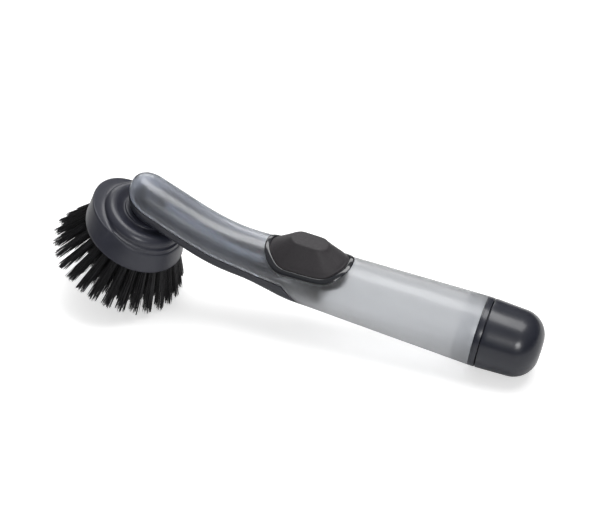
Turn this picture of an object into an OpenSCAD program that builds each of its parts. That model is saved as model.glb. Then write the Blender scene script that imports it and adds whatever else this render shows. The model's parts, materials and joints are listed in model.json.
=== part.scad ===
// Dish wand: a soap-filled grip with a press button, a bent neck and a round brush head that pulls off.
// The wand is drawn along X with its head towards -X and its cap towards +X, and the middle of the
// grip's mouth at the origin. Then it is laid down as it rests, on its cap and its rear bristles.

/* [Grip] */
// Diameter of the grip at its mouth
grip_d = 36; // [32:0.5:40]
// Length of the straight grip, from its mouth to the start of the neck
grip_len = 95; // [90:1:110]
// Diameter that the grip loses along its straight length
grip_taper = 5.6; // [4:0.1:6.5]
// Wall of the clear shell
shell_wall = 2.2; // [1.8:0.1:2.4]

/* [Neck] */
// Length of the neck, from the end of the grip to the tip
neck_len = 94.5; // [90:0.5:110]
// Width of the neck
neck_w = 25.5; // [24.5:0.5:28]
// Height that the neck climbs to its tip
tip_rise = 20.8; // [17:0.2:24]
// Where along the neck it bends, as a share of its length
bend_at = 0.46; // [0.4:0.01:0.52]
// How soft the bend is, as a share of the neck's length
bend_soft = 0.17; // [0.12:0.01:0.24]
// Depth of the neck's base below the seam, at the tip
base_depth = 7.0; // [6.5:0.1:8]
// Wall of the neck's base
base_wall = 2.6; // [2.4:0.1:3]
// Shadow gap between the shell and the neck's base
seam_gap = 0.35; // [0.2:0.05:0.6]
// Length of the rounded tip
nose_len = 13; // [11:0.5:14]

/* [Button] */
// How far behind the start of the neck the middle of the button lies
button_behind_neck = 3.2; // [2:0.2:7]
// Length of the button at its foot
button_len = 40.1; // [37:0.1:41]
// Width of the button at its foot
button_w = 24; // [22:0.1:24.4]
// Height of the button's flat top above the grip's axis
button_top_z = 22.2; // [21:0.1:24]
// Length of the button's flat top
button_top_len = 20; // [18:0.2:26]
// Width of the button's flat top
button_top_w = 11.1; // [9:0.2:13]
// How far the button travels
button_travel = 3.5; // [2.5:0.1:3.6]
// Wall of the button's soft skin
skin_wall = 1.6; // [1.2:0.1:1.8]
// Visible width of the button's ring
ring_w = 2.6; // [2.2:0.1:3.2]
// Height of the button's ring above the grip
ring_rise = 0.6; // [0.5:0.1:1]

/* [Pump] */
// Radius of the pump's cup
cup_r = 8.5; // [7.5:0.1:9]
// Radius of the bellows at its folds
bellows_r = 7.8; // [6.5:0.1:8]
// Number of folds in the bellows
bellows_folds = 4; // [3:1:5]
// Outer radius of the delivery tube
feed_r = 2.6; // [2.4:0.1:3]
// Bore radius of the delivery tube
feed_bore_r = 1.7; // [1.5:0.1:1.8]
// Radius of the delivery tube's bend
feed_bend_r = 40; // [25:1:60]

/* [Cap] */
// Width of the band that shows between the grip and the cap
band_w = 3.45; // [2.5:0.05:5]
// Length of the cap
cap_len = 29; // [26:0.5:34]
// Radius of the cap's rounded end
cap_round = 13; // [10:0.2:14]
// Wall of the cap
cap_wall = 2.1; // [1.8:0.1:2.4]
// Length of the threaded neck that the cap screws onto
thread_len = 10.5; // [9:0.5:12]
// Wall of the threaded neck round the filling mouth
filler_wall = 2.3; // [2.1:0.1:3.9]

/* [Brush head] */
// Radius of the head's rim
rim_r = 27.2; // [25:0.1:30]
// Height of the head's skirt, from the rim to the crease
skirt_h = 12; // [11.5:0.1:13]
// Radius of the head at the crease
crease_r = 22.8; // [22.4:0.1:24]
// Radius of the rounded collar's crown
collar_r = 17.4; // [16.8:0.1:18]
// Radius of the collar's round
collar_round = 4.2; // [3.8:0.1:4.4]
// Height of the head, from the rim to the face that meets the wand
head_h = 17.4; // [17.2:0.1:18]
// Wall of the head
head_wall = 1.8; // [1.6:0.1:2]
// How far the scraper lip stands forward of the head's axis
lip_shift = 6.4; // [5.5:0.1:7]
// Radius of the scraper lip
lip_r = 21.9; // [21.5:0.1:22.4]
// Angle between the head's axis and the wand's upright
head_lean = 19; // [16:0.5:22]
// Distance from the wand's tip to the head's axis
head_inset = 10.4; // [10:0.1:13]
// Radius of the spigot that the head pushes onto
spigot_r = 7; // [6.6:0.1:7.4]
// Radial clearance of the head on its spigot
spigot_fit = 0.05; // [0.03:0.01:0.1]

/* [Bristles] */
// Length of the bristles from the rim to their tips, along the head's axis
bristle_len = 23; // [20:0.5:25]
// Radius of the outer bristles at their tips
spread_r = 34.8; // [32:0.2:36]
// Radius of the outer tufts at their roots
root_r = 22; // [21.4:0.1:22.4]
// Number of tufts in the outer ring
outer_tufts = 28; // [24:1:30]
// Half width of one strand
strand_r = 0.36; // [0.3:0.02:0.38]

/* [Hidden] */
$fn = 96;

// Colours, as the object shows them
clear_grey = [0.62, 0.64, 0.67, 0.45];
dark_grey = [0.24, 0.25, 0.28];
head_grey = [0.27, 0.28, 0.31];
button_grey = [0.20, 0.19, 0.20];
cap_grey = [0.17, 0.18, 0.21];
bristle_black = [0.08, 0.08, 0.09];
rubber_black = [0.10, 0.10, 0.11];
valve_white = [0.85, 0.86, 0.88];

// Clearances
slip = 0.1;
loose = 0.3;

// The wand's outline
grip_r = grip_d / 2;
grip_slope = grip_taper / 2 / grip_len;
tip_x = -grip_len - neck_len;
nose_x = tip_x + nose_len;
function grip_r_at(x) = grip_r + x * grip_slope;
function share(x) = max(0, (-grip_len - x) / neck_len);
function ramp(s) = sqrt((s - bend_at) ^ 2 + bend_soft ^ 2) + s - bend_at;
function ease(t) = let (c = min(1, max(0, t))) c * c * (3 - 2 * c);
// Height of the seam between the shell and the neck's base, which is also the section's middle
function seam_z(x) = tip_rise * (ramp(share(x)) - ramp(0)) / (ramp(1) - ramp(0));
// Half width of the section: the grip's radius, easing to the neck's
waist = 0.4;
function half_w(x) = let (k = ease(share(x) / waist)) grip_r_at(x) * (1 - k) + neck_w / 2 * k;
// Height of the arch above the seam, and depth of the section below it
arch_ratio = 1.03;
tip_drop = 1.6;
drop_from = 0.66;
function arch_h(x) = half_w(x) * (1 + (arch_ratio - 1) * ease(share(x) / waist))
    - tip_drop * max(0, (share(x) - drop_from) / (1 - drop_from)) ^ 2;
function depth(x) = let (s = share(x), mid = base_depth + 2.6, k = ease(s / 0.32))
    (grip_r_at(x) * (1 - k) + mid * k) - (mid - base_depth) * ease((s - 0.3) / 0.5);
// How square the underside is: 2 is round
function squareness(x) = 2 + 5 * share(x) ^ 2;

// One point of the section at x, at an angle from its top, drawn in by an inset.
// The lower half can start a gap below the seam, as the neck's base does.
function section_pt(x, inset, a, fw = 1, fz = 1, gap = 0) =
    let (w = (half_w(x) - inset) * fw, up = (arch_h(x) - inset) * fz,
        down = (depth(x) - inset) * fz, e = 2 / squareness(x), m = a > 180 ? a - 360 : a)
    abs(m) <= 90 && gap == 0 ? [x, w * sin(m), seam_z(x) + up * cos(m)]
        : [x, w * sign(m) * abs(sin(m)) ^ e, seam_z(x) - gap - (down - gap) * abs(cos(m)) ^ e];

// The neck's base ends in a round tongue under the grip
tongue_x = -grip_len + 9;
tongue_run = 14;
// The pump's housing starts well inside the neck
housing_x = -grip_len - 18;
function edge_angle(x, xe) = x >= xe ? 180
    : x <= xe - tongue_run ? 90 : 180 - 90 * sqrt((xe - x) / tongue_run);

// Stations along the wand, each with the angle that its nose has turned through
tongue_steps = [0.84, 0.68, 0.52, 0.36, 0.2, 0];
neck_start = tongue_x - tongue_run;
neck_steps = 12;
nose_angles = [18, 36, 52, 66, 78, 90];
function stations(xe) = concat([[xe, 0]], [for (v = tongue_steps) [xe - tongue_run * (1 - v) ^ 2, 0]],
    [for (i = [1 : neck_steps]) [neck_start + (nose_x - neck_start) * i / neck_steps, 0]],
    [for (a = nose_angles) [nose_x, a]]);
nose_power = 2.4;
function nose_round(a) = a == 90 ? 0 : (1 - sin(a) ^ nose_power) ^ (1 / nose_power);
// Where a station's section lies when it is drawn in
function station_pt(st, inset, a, gap = 0) = section_pt(st[0] - (nose_len - inset) * sin(st[1]), inset, a,
    st[1] == 90 ? 0 : cos(st[1]), nose_round(st[1]), gap);

// A wall of even thickness over stations. Each row runs from one angle to another on a fixed grid of
// angles, so that its ends follow the edge. The first rows can be closed rings; poles are single points.
module skin(st, from, to, step, wall, closed = 0, gap = 0) {
    m = len(st);
    function lo(i) = floor(from[i] / step + 0.001);
    function hi(i) = ceil(to[i] / step - 0.001);
    function count(i) = st[i][1] == 90 ? 1 : i < closed ? hi(i) - lo(i) : hi(i) - lo(i) + 1;
    function starts(i, sum) = i == m ? [sum] : concat([sum], starts(i + 1, sum + count(i)));
    first = starts(0, 0);
    half = first[m];
    function at(i, j) = first[i] + (i < closed ? (j - lo(i)) % count(i)
        : min(count(i) - 1, max(0, j - lo(i))));
    function row(i, inset) = [for (q = [0 : count(i) - 1])
        station_pt(st[i], inset, max(from[i], min(to[i], step * (lo(i) + q))), gap)];
    pts = concat([for (i = [0 : m - 1]) each row(i, 0)], [for (i = [0 : m - 1]) each row(i, wall)]);
    j0 = min([for (i = [0 : m - 1]) lo(i)]);
    j1 = max([for (i = [0 : m - 1]) hi(i)]);
    cells = [for (i = [0 : m - 2], j = [j0 : j1 - 1]) [at(i, j), at(i, j + 1), at(i + 1, j + 1), at(i + 1, j)]];
    outside = [for (q = cells) each [[q[0], q[2], q[1]], [q[0], q[3], q[2]]]];
    inside = [for (t = outside) [t[0] + half, t[2] + half, t[1] + half]];
    mouth = [for (j = [j0 : j1 - 1]) let (a = at(0, j), b = at(0, j + 1))
        each [[a, b, b + half], [a, b + half, a + half]]];
    edges = [for (i = [max(0, closed - 1) : m - 2]) let (a = at(i, j0), b = at(i + 1, j0), c = at(i, j1),
        d = at(i + 1, j1)) each [[a, a + half, b + half], [a, b + half, b], [c, d + half, c + half], [c, d, d + half]]];
    polyhedron(pts, [for (t = concat(outside, inside, closed > 0 ? mouth : [], edges))
        if (t[0] != t[1] && t[1] != t[2] && t[2] != t[0]) t]);
}

// A solid made of closed rings stacked between two end points. Seen along the stack, each ring turns
// clockwise when it is looked at from its far end.
module stacked(loops, first, last) {
    n = len(loops[0]);
    rows = len(loops);
    sides = [for (i = [0 : rows - 2], j = [0 : n - 1])
        let (a = i * n + j, b = i * n + (j + 1) % n, c = a + n, d = b + n) each [[a, b, d], [a, d, c]]];
    ends = [for (j = [0 : n - 1]) let (k = (j + 1) % n, e = (rows - 1) * n)
        each [[j, rows * n, k], [e + j, e + k, rows * n + 1]]];
    polyhedron(concat([for (l = loops) each l], [first, last]), concat(sides, ends));
}

// The solid inside the wand's outline, drawn in by an inset, between two places along it
module wand_core(inset, x_from, x_to, sides = 40) {
    steps = 8;
    loops = [for (i = [0 : steps]) let (x = x_from + (x_to - x_from) * i / steps)
        [for (j = [0 : sides - 1]) section_pt(x, inset, 360 * j / sides)]];
    stacked(loops, [x_from, 0, seam_z(x_from)], [x_to, 0, seam_z(x_to)]);
}

// The clear shell: a round tube, and a skin that runs on from it over the neck to the tip
shell_step = 9;
join_x = tongue_x + 10;
module grip_tube() {
    over = 0.02;
    under = 0.07;
    along_x(0, -1) rotate_extrude() polygon([[grip_r - shell_wall - under, 0], [grip_r - 0.3, 0], [grip_r, 0.3],
        [grip_r_at(join_x) + over, -join_x], [grip_r_at(join_x) - shell_wall - under, -join_x]]);
}
module shell_skin() {
    st = concat([[join_x + 1, 0]], stations(tongue_x));
    ends = [for (s = st) edge_angle(s[0] - nose_len * sin(s[1]), tongue_x)];
    skin(st, -ends, ends, shell_step, shell_wall, closed = 2);
}

module body_shell() {
    color(clear_grey) rest() difference() {
        union() {
            grip_tube();
            shell_skin();
        }
        // Seat of the mouth collar's plug
        along_x(-plug_len - loose, 1) cylinder(r = plug_r + slip, h = plug_len + loose + 1);
        // Opening for the button
        button_column(opening_grow, 2, 30);
    }
}

module rest() {
    translate([rest_x, 0, rest_z]) rotate([0, rest_tilt, 0]) children();
}
module along_x(x, dir) {
    translate([x, 0, 0]) rotate([0, 90 * dir, 0]) children();
}

// The head's frame: +Z runs from the rim to the wand, and the scraper lip is towards -X
head_axis = [sin(head_lean), 0, cos(head_lean)];
head_side = [cos(head_lean), 0, -sin(head_lean)];
boss_gap = 0.3;
under_x = tip_x + head_inset;
under_rise = 1.55;
rim_at = [under_x, 0, seam_z(under_x) - base_depth] - head_axis * (head_h + boss_gap + under_rise);
module at_head() {
    translate(rim_at) rotate([0, head_lean, 0]) children();
}

// How the wand rests: on the cap's rounded end and the rear of the bristle tips
tuft_root_r = 0.85;
tuft_tip_r = 1.75;
bristle_reach = spread_r + tuft_tip_r + strand_r;
rear_foot = rim_at - head_axis * bristle_len + head_side * bristle_reach;
front_foot = rim_at - head_axis * bristle_len - head_side * bristle_reach;
cap_x = band_w + loose;
cap_end_x = cap_x + cap_len;
cap_end_r = grip_r - 0.7;
cap_turn = [cap_end_x - cap_round, 0, -(cap_end_r - cap_round)];
foot_to_cap = cap_turn - rear_foot;
rest_tilt = atan2(foot_to_cap[2], foot_to_cap[0]) - asin(cap_round / norm(foot_to_cap));
rest_z = rear_foot[0] * sin(rest_tilt) - rear_foot[2] * cos(rest_tilt);
left_x = front_foot[0] * cos(rest_tilt) + front_foot[2] * sin(rest_tilt);
right_x = cap_turn[0] * cos(rest_tilt) - cap_turn[2] * sin(rest_tilt) + cap_round;
rest_x = -(left_x + right_x) / 2;

// The neck's base: a tray below the seam, with a boss and the spigot for the head
base_step = 180 / 26;
module tray() {
    st = stations(tongue_x - seam_gap);
    from = [for (s = st) edge_angle(s[0] - nose_len * sin(s[1]), tongue_x - seam_gap)];
    skin(st, from, [for (f = from) 360 - f], base_step, base_wall, gap = seam_gap);
}

// A rib inside the tray that reaches up inside the shell and lines the seam
rib_gap = 0.22;
rib_wall = 1.3;
rib_h = 1.8;
rib_foot = 2.2;
module seam_rib(side) {
    steps = 12;
    x_a = housing_x - 2;
    x_b = nose_x - 1;
    loops = [for (i = [0 : steps])
        let (x = x_a + (x_b - x_a) * i / steps, out = half_w(x) - shell_wall - rib_gap,
            lean = out * (1 - sqrt(1 - (rib_h / (arch_h(x) - shell_wall)) ^ 2)), z = seam_z(x),
            y1 = out, y0 = out - rib_wall)
        [[x, side * y0, z - rib_foot], [x, side * y1, z - rib_foot], [x, side * y1, z],
            [x, side * (y1 - lean), z + rib_h], [x, side * (y0 - lean), z + rib_h], [x, side * y0, z]]];
    mid = out_of(loops);
    if (side > 0) stacked(loops, mid[0], mid[1]);
    else stacked([for (l = loops) [for (i = [len(l) - 1 : -1 : 0]) l[i]]], mid[0], mid[1]);
}
function centre(l) = [for (k = [0 : 2]) [for (p = l) p[k]] * [for (p = l) 1] / len(l)];
function out_of(loops) = [centre(loops[0]), centre(loops[len(loops) - 1])];

boss_r = 8.6;
boss_top = head_h + boss_gap + 5.4;
pad_r = 6.5;
spigot_bore_r = 3;
spigot_low = 6.9;
seal_section_r = 0.9;
seal_groove_z = 12;
key_w = 2.4;
key_h = 0.9;
valve_seat_r = 5.7;
valve_seat_h = 2.6;
module neck_base() {
    color(dark_grey) rest() difference() {
        union() {
            tray();
            seam_rib(1);
            seam_rib(-1);
            at_head() {
                translate([0, 0, head_h + boss_gap]) cylinder(r = boss_r, h = 2.5);
                translate([0, 0, head_h]) cylinder(r = pad_r, h = boss_top - head_h);
                translate([0, 0, spigot_low]) cylinder(r = spigot_r, h = boss_top - spigot_low - 1);
                translate([spigot_r - 1, -key_w / 2, seal_groove_z + 1.6])
                    cube([1 + key_h, key_w, head_h - seal_groove_z - 1.3]);
            }
        }
        at_head() {
            translate([0, 0, spigot_low - 1]) cylinder(r = spigot_bore_r, h = boss_top);
            translate([0, 0, spigot_low - 1]) cylinder(r = valve_seat_r, h = 1 + valve_seat_h);
            translate([0, 0, seal_groove_z]) ring_of(spigot_r - 2 * seal_section_r, spigot_r + 1,
                2 * seal_section_r + 0.4);
        }
    }
}
// A flat ring centred on its middle height
module ring_of(r_in, r_out, h) {
    translate([0, 0, -h / 2]) difference() {
        cylinder(r = r_out, h = h);
        translate([0, 0, -1]) cylinder(r = r_in, h = h + 2);
    }
}

module spigot_seal() {
    color(rubber_black) rest() at_head() translate([0, 0, seal_groove_z])
        rotate_extrude() translate([spigot_r - seal_section_r, 0]) circle(r = seal_section_r - 0.01, $fn = 32);
}

// Slit valve in the end of the spigot, and the ring that holds it
retainer_h = 1.0;
module nozzle_valve() {
    r = valve_seat_r - slip;
    z0 = spigot_low + 0.05;
    color(valve_white) rest() at_head() difference() {
        rotate_extrude() polygon([[0, z0 + 1.5], [1.6, z0 + 1.3], [2.8, z0 + 0.2], [3.4, z0], [r, z0],
            [r, z0 + valve_seat_h - 0.1], [4.2, z0 + valve_seat_h - 0.1], [4.2, z0 + 0.9],
            [3.3, z0 + 0.9], [2.0, z0 + 2.1], [0, z0 + 2.3]]);
        translate([-2, -0.1, z0 - 1]) cube([4, 0.2, 5]);
    }
}
module valve_retainer() {
    color(dark_grey) rest() at_head() translate([0, 0, spigot_low - retainer_h]) difference() {
        union() {
            cylinder(r = spigot_r - slip, h = retainer_h - 0.02);
            ring_of(3.2, 3.9, 0.1);
        }
        translate([0, 0, -1]) cylinder(r = 3.4, h = retainer_h + 2);
    }
}

// Elbow on top of the boss, which takes the delivery tube
elbow_r = 6.2;
elbow_h = 7;
feed_z = boss_top + 3.2;
elbow_reach = 11;
barb_r = feed_bore_r - 0.03;
module nozzle_elbow() {
    color(dark_grey) rest() at_head() difference() {
        union() {
            translate([0, 0, boss_top + 0.05]) cylinder(r = elbow_r, h = elbow_h - 1.5);
            translate([0, 0, boss_top + elbow_h - 1.45]) cylinder(r1 = elbow_r, r2 = elbow_r - 1.5, h = 1.5);
            translate([0, 0, feed_z]) rotate([0, 90, 0]) cylinder(r = feed_r, h = elbow_reach - 4);
            translate([0, 0, feed_z]) rotate([0, 90, 0]) cylinder(r = barb_r, h = elbow_reach);
        }
        translate([0, 0, boss_top - 1]) cylinder(r = 2.4, h = feed_z - boss_top + 2);
        translate([0, 0, feed_z]) rotate([0, 90, 0]) cylinder(r = 1, h = elbow_reach + 1);
    }
}

// Delivery tube: level out of the pump, one bend, then up along the neck
feed_out = rim_at + head_axis * feed_z + head_side * (elbow_reach - 3.8);
feed_level = 0;
bend_x = feed_out[0] + (feed_out[2] - feed_level) * cos(head_lean) / sin(head_lean);
bend_run = feed_bend_r * tan(head_lean / 2);
feed_from_x = housing_x - 1.2;
feed_lap = 0.6;
module delivery_tube() {
    color(valve_white) rest() difference() {
        feed_line(feed_r, 0);
        feed_line(feed_bore_r, 1);
    }
}
// One line through the tube: the straight ends lap over the bend, which is a hair thinner
module feed_line(r, over) {
    run = norm(feed_out - [bend_x, 0, feed_level]) - bend_run;
    along_x(bend_x + bend_run - feed_lap, 1) cylinder(r = r, h = feed_from_x - bend_x - bend_run + feed_lap + over);
    translate([bend_x + bend_run, 0, feed_level + feed_bend_r]) rotate([90, 0, 0])
        rotate_extrude(angle = -head_lean, start = -90) translate([feed_bend_r, 0]) circle(r = r - 0.05);
    translate(feed_out) rotate([0, 90 + head_lean, 0]) translate([0, 0, -over])
        cylinder(r = r, h = run + feed_lap + over);
}

// The button and its ring sit on the grip's top, over an opening
button_x = button_behind_neck - grip_len;
opening_grow = 1.4;
// Outline of a long octagon with soft corners, for a half length and a half width, offset by o
soft = 11.5;
side_share = 0.62;
end_share = 0.46;
side_grow = 0.61;
function octagon(l, w, o, a) =
    let (b = atan2(l * (1 - side_share), w * (1 - end_share)),
        d = l * side_share * cos(b) + w * sin(b) + o,
        side = w + (o > 0 ? o * side_grow : o),
        faces = [[0, l + o], [180, l + o], [b, d], [-b, d], [180 - b, d], [180 + b, d], [90, side], [-90, side]],
        near = [for (f = faces) max(0, cos(a - f[0]) / f[1]) ^ soft],
        r = (near * [for (f = faces) 1]) ^ (-1 / soft))
    [r * cos(a), r * sin(a)];
function plan(o, a) = octagon(button_len / 2, button_w / 2, o, a);
module button_column(o, z0, z1) {
    translate([button_x, 0, z0]) linear_extrude(z1 - z0)
        polygon([for (i = [0 : 71]) plan(o, 5 * i)]);
}
// Height of the wand's outer surface, and its slope across the wand
function top_z(x, y) = seam_z(x) + arch_h(x) * sqrt(max(0, 1 - (y / half_w(x)) ^ 2));
function top_normal(x, y) = let (n = [0, y / half_w(x) ^ 2, (top_z(x, y) - seam_z(x)) / arch_h(x) ^ 2]) n / norm(n);
function on_top(p, rise) = let (x = button_x + p[0], y = p[1]) [x, y, top_z(x, y)] + top_normal(x, y) * rise;

// Ring: a low rounded bead that follows the grip and clears the button all round
ring_clear = 0.4;
ring_seat = 0.09;
ring_profile = [[0, 0], [0.33, 0], [0.67, 0], [1, 0], [1, 0.4], [0.88, 0.8], [0.65, 1], [0.4, 1], [0.15, 0.8], [0, 0.4]];
module button_ring() {
    n = 64;
    rows = len(ring_profile);
    pts = [for (q = ring_profile, i = [0 : n - 1])
        let (p = plan(ring_clear, 360 * i / n), l = plan(ring_clear + ring_w, 360 * i / n))
        on_top(p + (l - p) * q[0], ring_seat + q[1] * (ring_rise - ring_seat))];
    faces = [for (r = [0 : rows - 1], i = [0 : n - 1])
        let (a = r * n + i, b = r * n + (i + 1) % n, c = ((r + 1) % rows) * n + i,
            d = ((r + 1) % rows) * n + (i + 1) % n)
        each [[a, d, b], [a, c, d]]];
    color(cap_grey) rest() polyhedron(pts, faces);
}

// Button: a faceted dome whose foot follows the grip and whose top is flat
function foot_pt(a, inset, rise) = on_top(plan(-inset, a), rise);
top_shift = -0.7;
function crown_pt(a, k, z) = let (p = octagon(button_top_len / 2 * k, button_top_w / 2 * k, 0, a))
    [button_x + top_shift + p[0], p[1], z];
skin_sides = 60;
flange = 1.0;
module button_skin() {
    as = [for (i = [0 : skin_sides - 1]) 360 * i / skin_sides];
    z = button_top_z;
    loops = [
        [for (a = as) crown_pt(a, 0.88, z)],
        [for (a = as) crown_pt(a, 0.98, z - 0.22)],
        [for (a = as) crown_pt(a, 1.05, z - 0.85)],
        [for (a = as) foot_pt(a, 0.55, 0.75)],
        [for (a = as) foot_pt(a, 0.15, 0.25)],
        [for (a = as) foot_pt(a, 0, -0.15)],
        [for (a = as) on_top(plan(opening_grow - slip, a), -0.25)],
        [for (a = as) on_top(plan(opening_grow - slip, a), -flange)],
        [for (a = as) foot_pt(a, skin_wall, -flange)],
        [for (a = as) crown_pt(a, 0.84, z - skin_wall)]];
    color(button_grey) rest() stacked(loops, [button_x + top_shift, 0, z],
        [button_x + top_shift, 0, z - skin_wall]);
}

// Hard core inside the button, with the stem that presses the bellows
stem_r = 5;
core_low = 17;
stem_low = 8.6;
module button_core() {
    lift = button_top_z - skin_wall - 0.15;
    as = [for (i = [0 : 35]) 10 * i];
    function at_level(z, inset) = [for (a = as)
        let (f = foot_pt(a, skin_wall, -flange), c = crown_pt(a, 0.84, lift), k = (z - f[2]) / (lift - f[2]),
            p = f + (c - f) * k, q = [p[0] - button_x, p[1]])
        [button_x + q[0] * (1 - inset / norm(q)), q[1] * (1 - inset / norm(q)), z]];
    color(dark_grey) rest() union() {
        stacked([at_level(lift, 0.3), at_level((lift + core_low) / 2, 0.3), at_level(core_low, 1.2)],
            [button_x, 0, lift], [button_x, 0, core_low]);
        translate([button_x, 0, stem_low]) cylinder(r = stem_r, h = core_low - stem_low + 1);
    }
}

// Bellows that the stem presses, standing in the pump's cup
cup_floor = -5;
bellows_wall = 0.8;
module pump_bellows() {
    z0 = cup_floor + 0.8;
    z1 = stem_low - 0.05;
    step = (z1 - z0 - 1) / bellows_folds;
    fold_in = bellows_r - 2.2;
    zig = [for (i = [0 : bellows_folds - 1]) each [[bellows_r, z0 + step * (i + 0.5)], [fold_in, z0 + step * (i + 1)]]];
    out = concat([[bellows_r, cup_floor + 0.05], [bellows_r, z0 - 0.1], [fold_in, z0]], zig, [[fold_in, z1]]);
    zag = [for (i = [len(zig) - 1 : -1 : 0]) [zig[i][0] - bellows_wall, zig[i][1]]];
    inn = concat([[0, z1], [0, z1 - bellows_wall], [fold_in - bellows_wall, z1 - bellows_wall]], zag,
        [[fold_in - bellows_wall, z0], [fold_in - bellows_wall, cup_floor + 0.05]]);
    color(rubber_black) rest() translate([button_x, 0, 0]) rotate_extrude() polygon(concat(out, inn));
}

// Pump housing: closes the reservoir, holds the cup and carries the button's frame
flange_x0 = tongue_x + 0.2;
flange_x1 = tongue_x + 5.4;
block_top = 4.6;
frame_wall = 1.6;
inlet_z = -8.4;
inlet_r = 2.6;
outlet_r = 3.2;
seal_x = (flange_x0 + flange_x1) / 2;
seal_r = 1.0;
wall_r = grip_r_at(seal_x) - shell_wall - 0.1;
lining = max(shell_wall, base_wall) + 0.3;
module pump_housing() {
    color(dark_grey) rest() difference() {
        union() {
            intersection() {
                wand_core(lining, housing_x, flange_x1);
                union() {
                    translate([flange_x0, -20, -20]) cube([flange_x1 - flange_x0, 40, 32]);
                    translate([housing_x, -20, -20]) cube([flange_x0 - housing_x + 1, 40, 20 + block_top]);
                }
            }
            intersection() {
                wand_core(flange + 0.2, button_x - button_len / 2 - 3, button_x + button_len / 2 + 3);
                difference() {
                    button_column(opening_grow - 0.2, block_top - 1, 30);
                    button_column(opening_grow - frame_wall, block_top + 0.6, 31);
                }
            }
            along_x(housing_x - 5, 1) cylinder(r = barb_r, h = 6);
        }
        // Cup, with the valve's seat and ports in its floor
        translate([button_x, 0, cup_floor]) cylinder(r = cup_r, h = 30);
        translate([button_x, 0, inlet_z]) cylinder(r = 0.95, h = 5);
        for (i = [0 : 3]) translate([button_x, 0, inlet_z]) rotate([0, 0, 45 + 90 * i])
            translate([2.2, 0, 0]) cylinder(r = 0.7, h = 5);
        // Passage from the reservoir to the inlet
        translate([button_x - 2.8, 0, inlet_z]) rotate([0, 90, 0]) cylinder(r = inlet_r, h = 40);
        // Passage to the delivery tube
        along_x(housing_x + 4, 1) cylinder(r = outlet_r, h = button_x - cup_r + 2 - housing_x - 4);
        along_x(housing_x - 6, 1) cylinder(r = 1, h = 12);
        // Groove of the seal
        along_x(seal_x, 1) ring_of(wall_r - 2 * seal_r - 0.05, wall_r + 2, 2 * seal_r + 0.4);
        // The rear flange leaves the fingers of the frame free
        translate([flange_x0 - 1, -3, block_top]) cube([20, 6, 20]);
    }
}
module housing_seal() {
    color(rubber_black) rest() along_x(seal_x, 1) rotate_extrude()
        translate([wall_r - seal_r - 0.05, 0]) circle(r = seal_r - 0.08, $fn = 32);
}
module inlet_valve() {
    color(valve_white) rest() translate([button_x, 0, cup_floor + 0.02]) union() {
        rotate_extrude() polygon([[0, 0], [3.2, 0], [3.2, 0.25], [1.4, 0.8], [0, 0.8]]);
        translate([0, 0, -1.6]) cylinder(r = 0.85, h = 1.8);
    }
}
module outlet_valve() {
    bill = 3.4;
    color(valve_white) rest() translate([housing_x + 8, 0, 0]) rotate([0, -90, 0]) difference() {
        union() {
            cylinder(r = outlet_r - 0.05, h = 1.2);
            intersection() {
                cylinder(r1 = 2.5, r2 = 2.2, h = bill);
                rotate([90, 0, 0]) linear_extrude(8, center = true)
                    polygon([[-2.5, 0], [2.5, 0], [2.5, 0.8], [0.45, bill], [-0.45, bill], [-2.5, 0.8]]);
            }
        }
        translate([0, 0, -1]) cylinder(r1 = 1.7, r2 = 0.3, h = bill);
    }
}

// Collar in the grip's mouth: a plug, the band that shows and the threaded neck
plug_len = 9;
plug_r = grip_r - shell_wall;
thread_r = plug_r - 0.9;
filler_r = thread_r - filler_wall;
module mouth_collar() {
    color(cap_grey) rest() along_x(0, 1) difference() {
        union() {
            translate([0, 0, -plug_len]) cylinder(r = plug_r, h = plug_len + 1);
            translate([0, 0, 0.05]) rotate_extrude() polygon([[filler_r, 0], [grip_r - 0.15, 0], [grip_r, 0.2],
                [grip_r, band_w - 0.25], [grip_r - 0.15, band_w - 0.05], [filler_r, band_w - 0.05]]);
            translate([0, 0, band_w - 0.5]) cylinder(r = thread_r, h = thread_len);
        }
        translate([0, 0, -plug_len - 1]) cylinder(r = filler_r, h = plug_len + band_w + thread_len + 2);
    }
}

// Cap: a rounded cup that screws onto the collar
seal_seat_x = band_w - 0.5 + thread_len;
cap_seal_h = 1.2;
cap_bore_r = plug_r + 0.1;
function cap_outline(inset) = let (r = cap_round - inset, x0 = cap_end_x - cap_round, y0 = cap_end_r - cap_round)
    [for (a = [90 : -7.5 : 0]) [y0 + r * sin(a), x0 + r * cos(a)]];
module end_cap() {
    deep = seal_seat_x + cap_seal_h + 0.1;
    color(cap_grey) rest() along_x(0, 1) difference() {
        rotate_extrude() polygon(concat([[0, cap_x], [grip_r - 0.25, cap_x], [grip_r, cap_x + 0.3],
            [grip_r - 0.1, cap_x + 3]], cap_outline(0), [[0, cap_end_x + 0.25]]));
        translate([0, 0, cap_x - 1]) cylinder(r = cap_bore_r, h = deep - cap_x + 1);
        rotate_extrude() polygon(concat([[0, deep - 1], [cap_bore_r - 1.2, deep - 1], [cap_bore_r - 1.2, deep + 0.4]],
            cap_outline(cap_wall), [[0, cap_end_x - cap_wall]]));
    }
}
module cap_seal() {
    color(rubber_black) rest() along_x(seal_seat_x + 0.05, 1) difference() {
        cylinder(r = cap_bore_r - slip, h = cap_seal_h - 0.05);
        translate([0, 0, -1]) cylinder(r = filler_r + 0.4, h = cap_seal_h + 2);
    }
}

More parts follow.
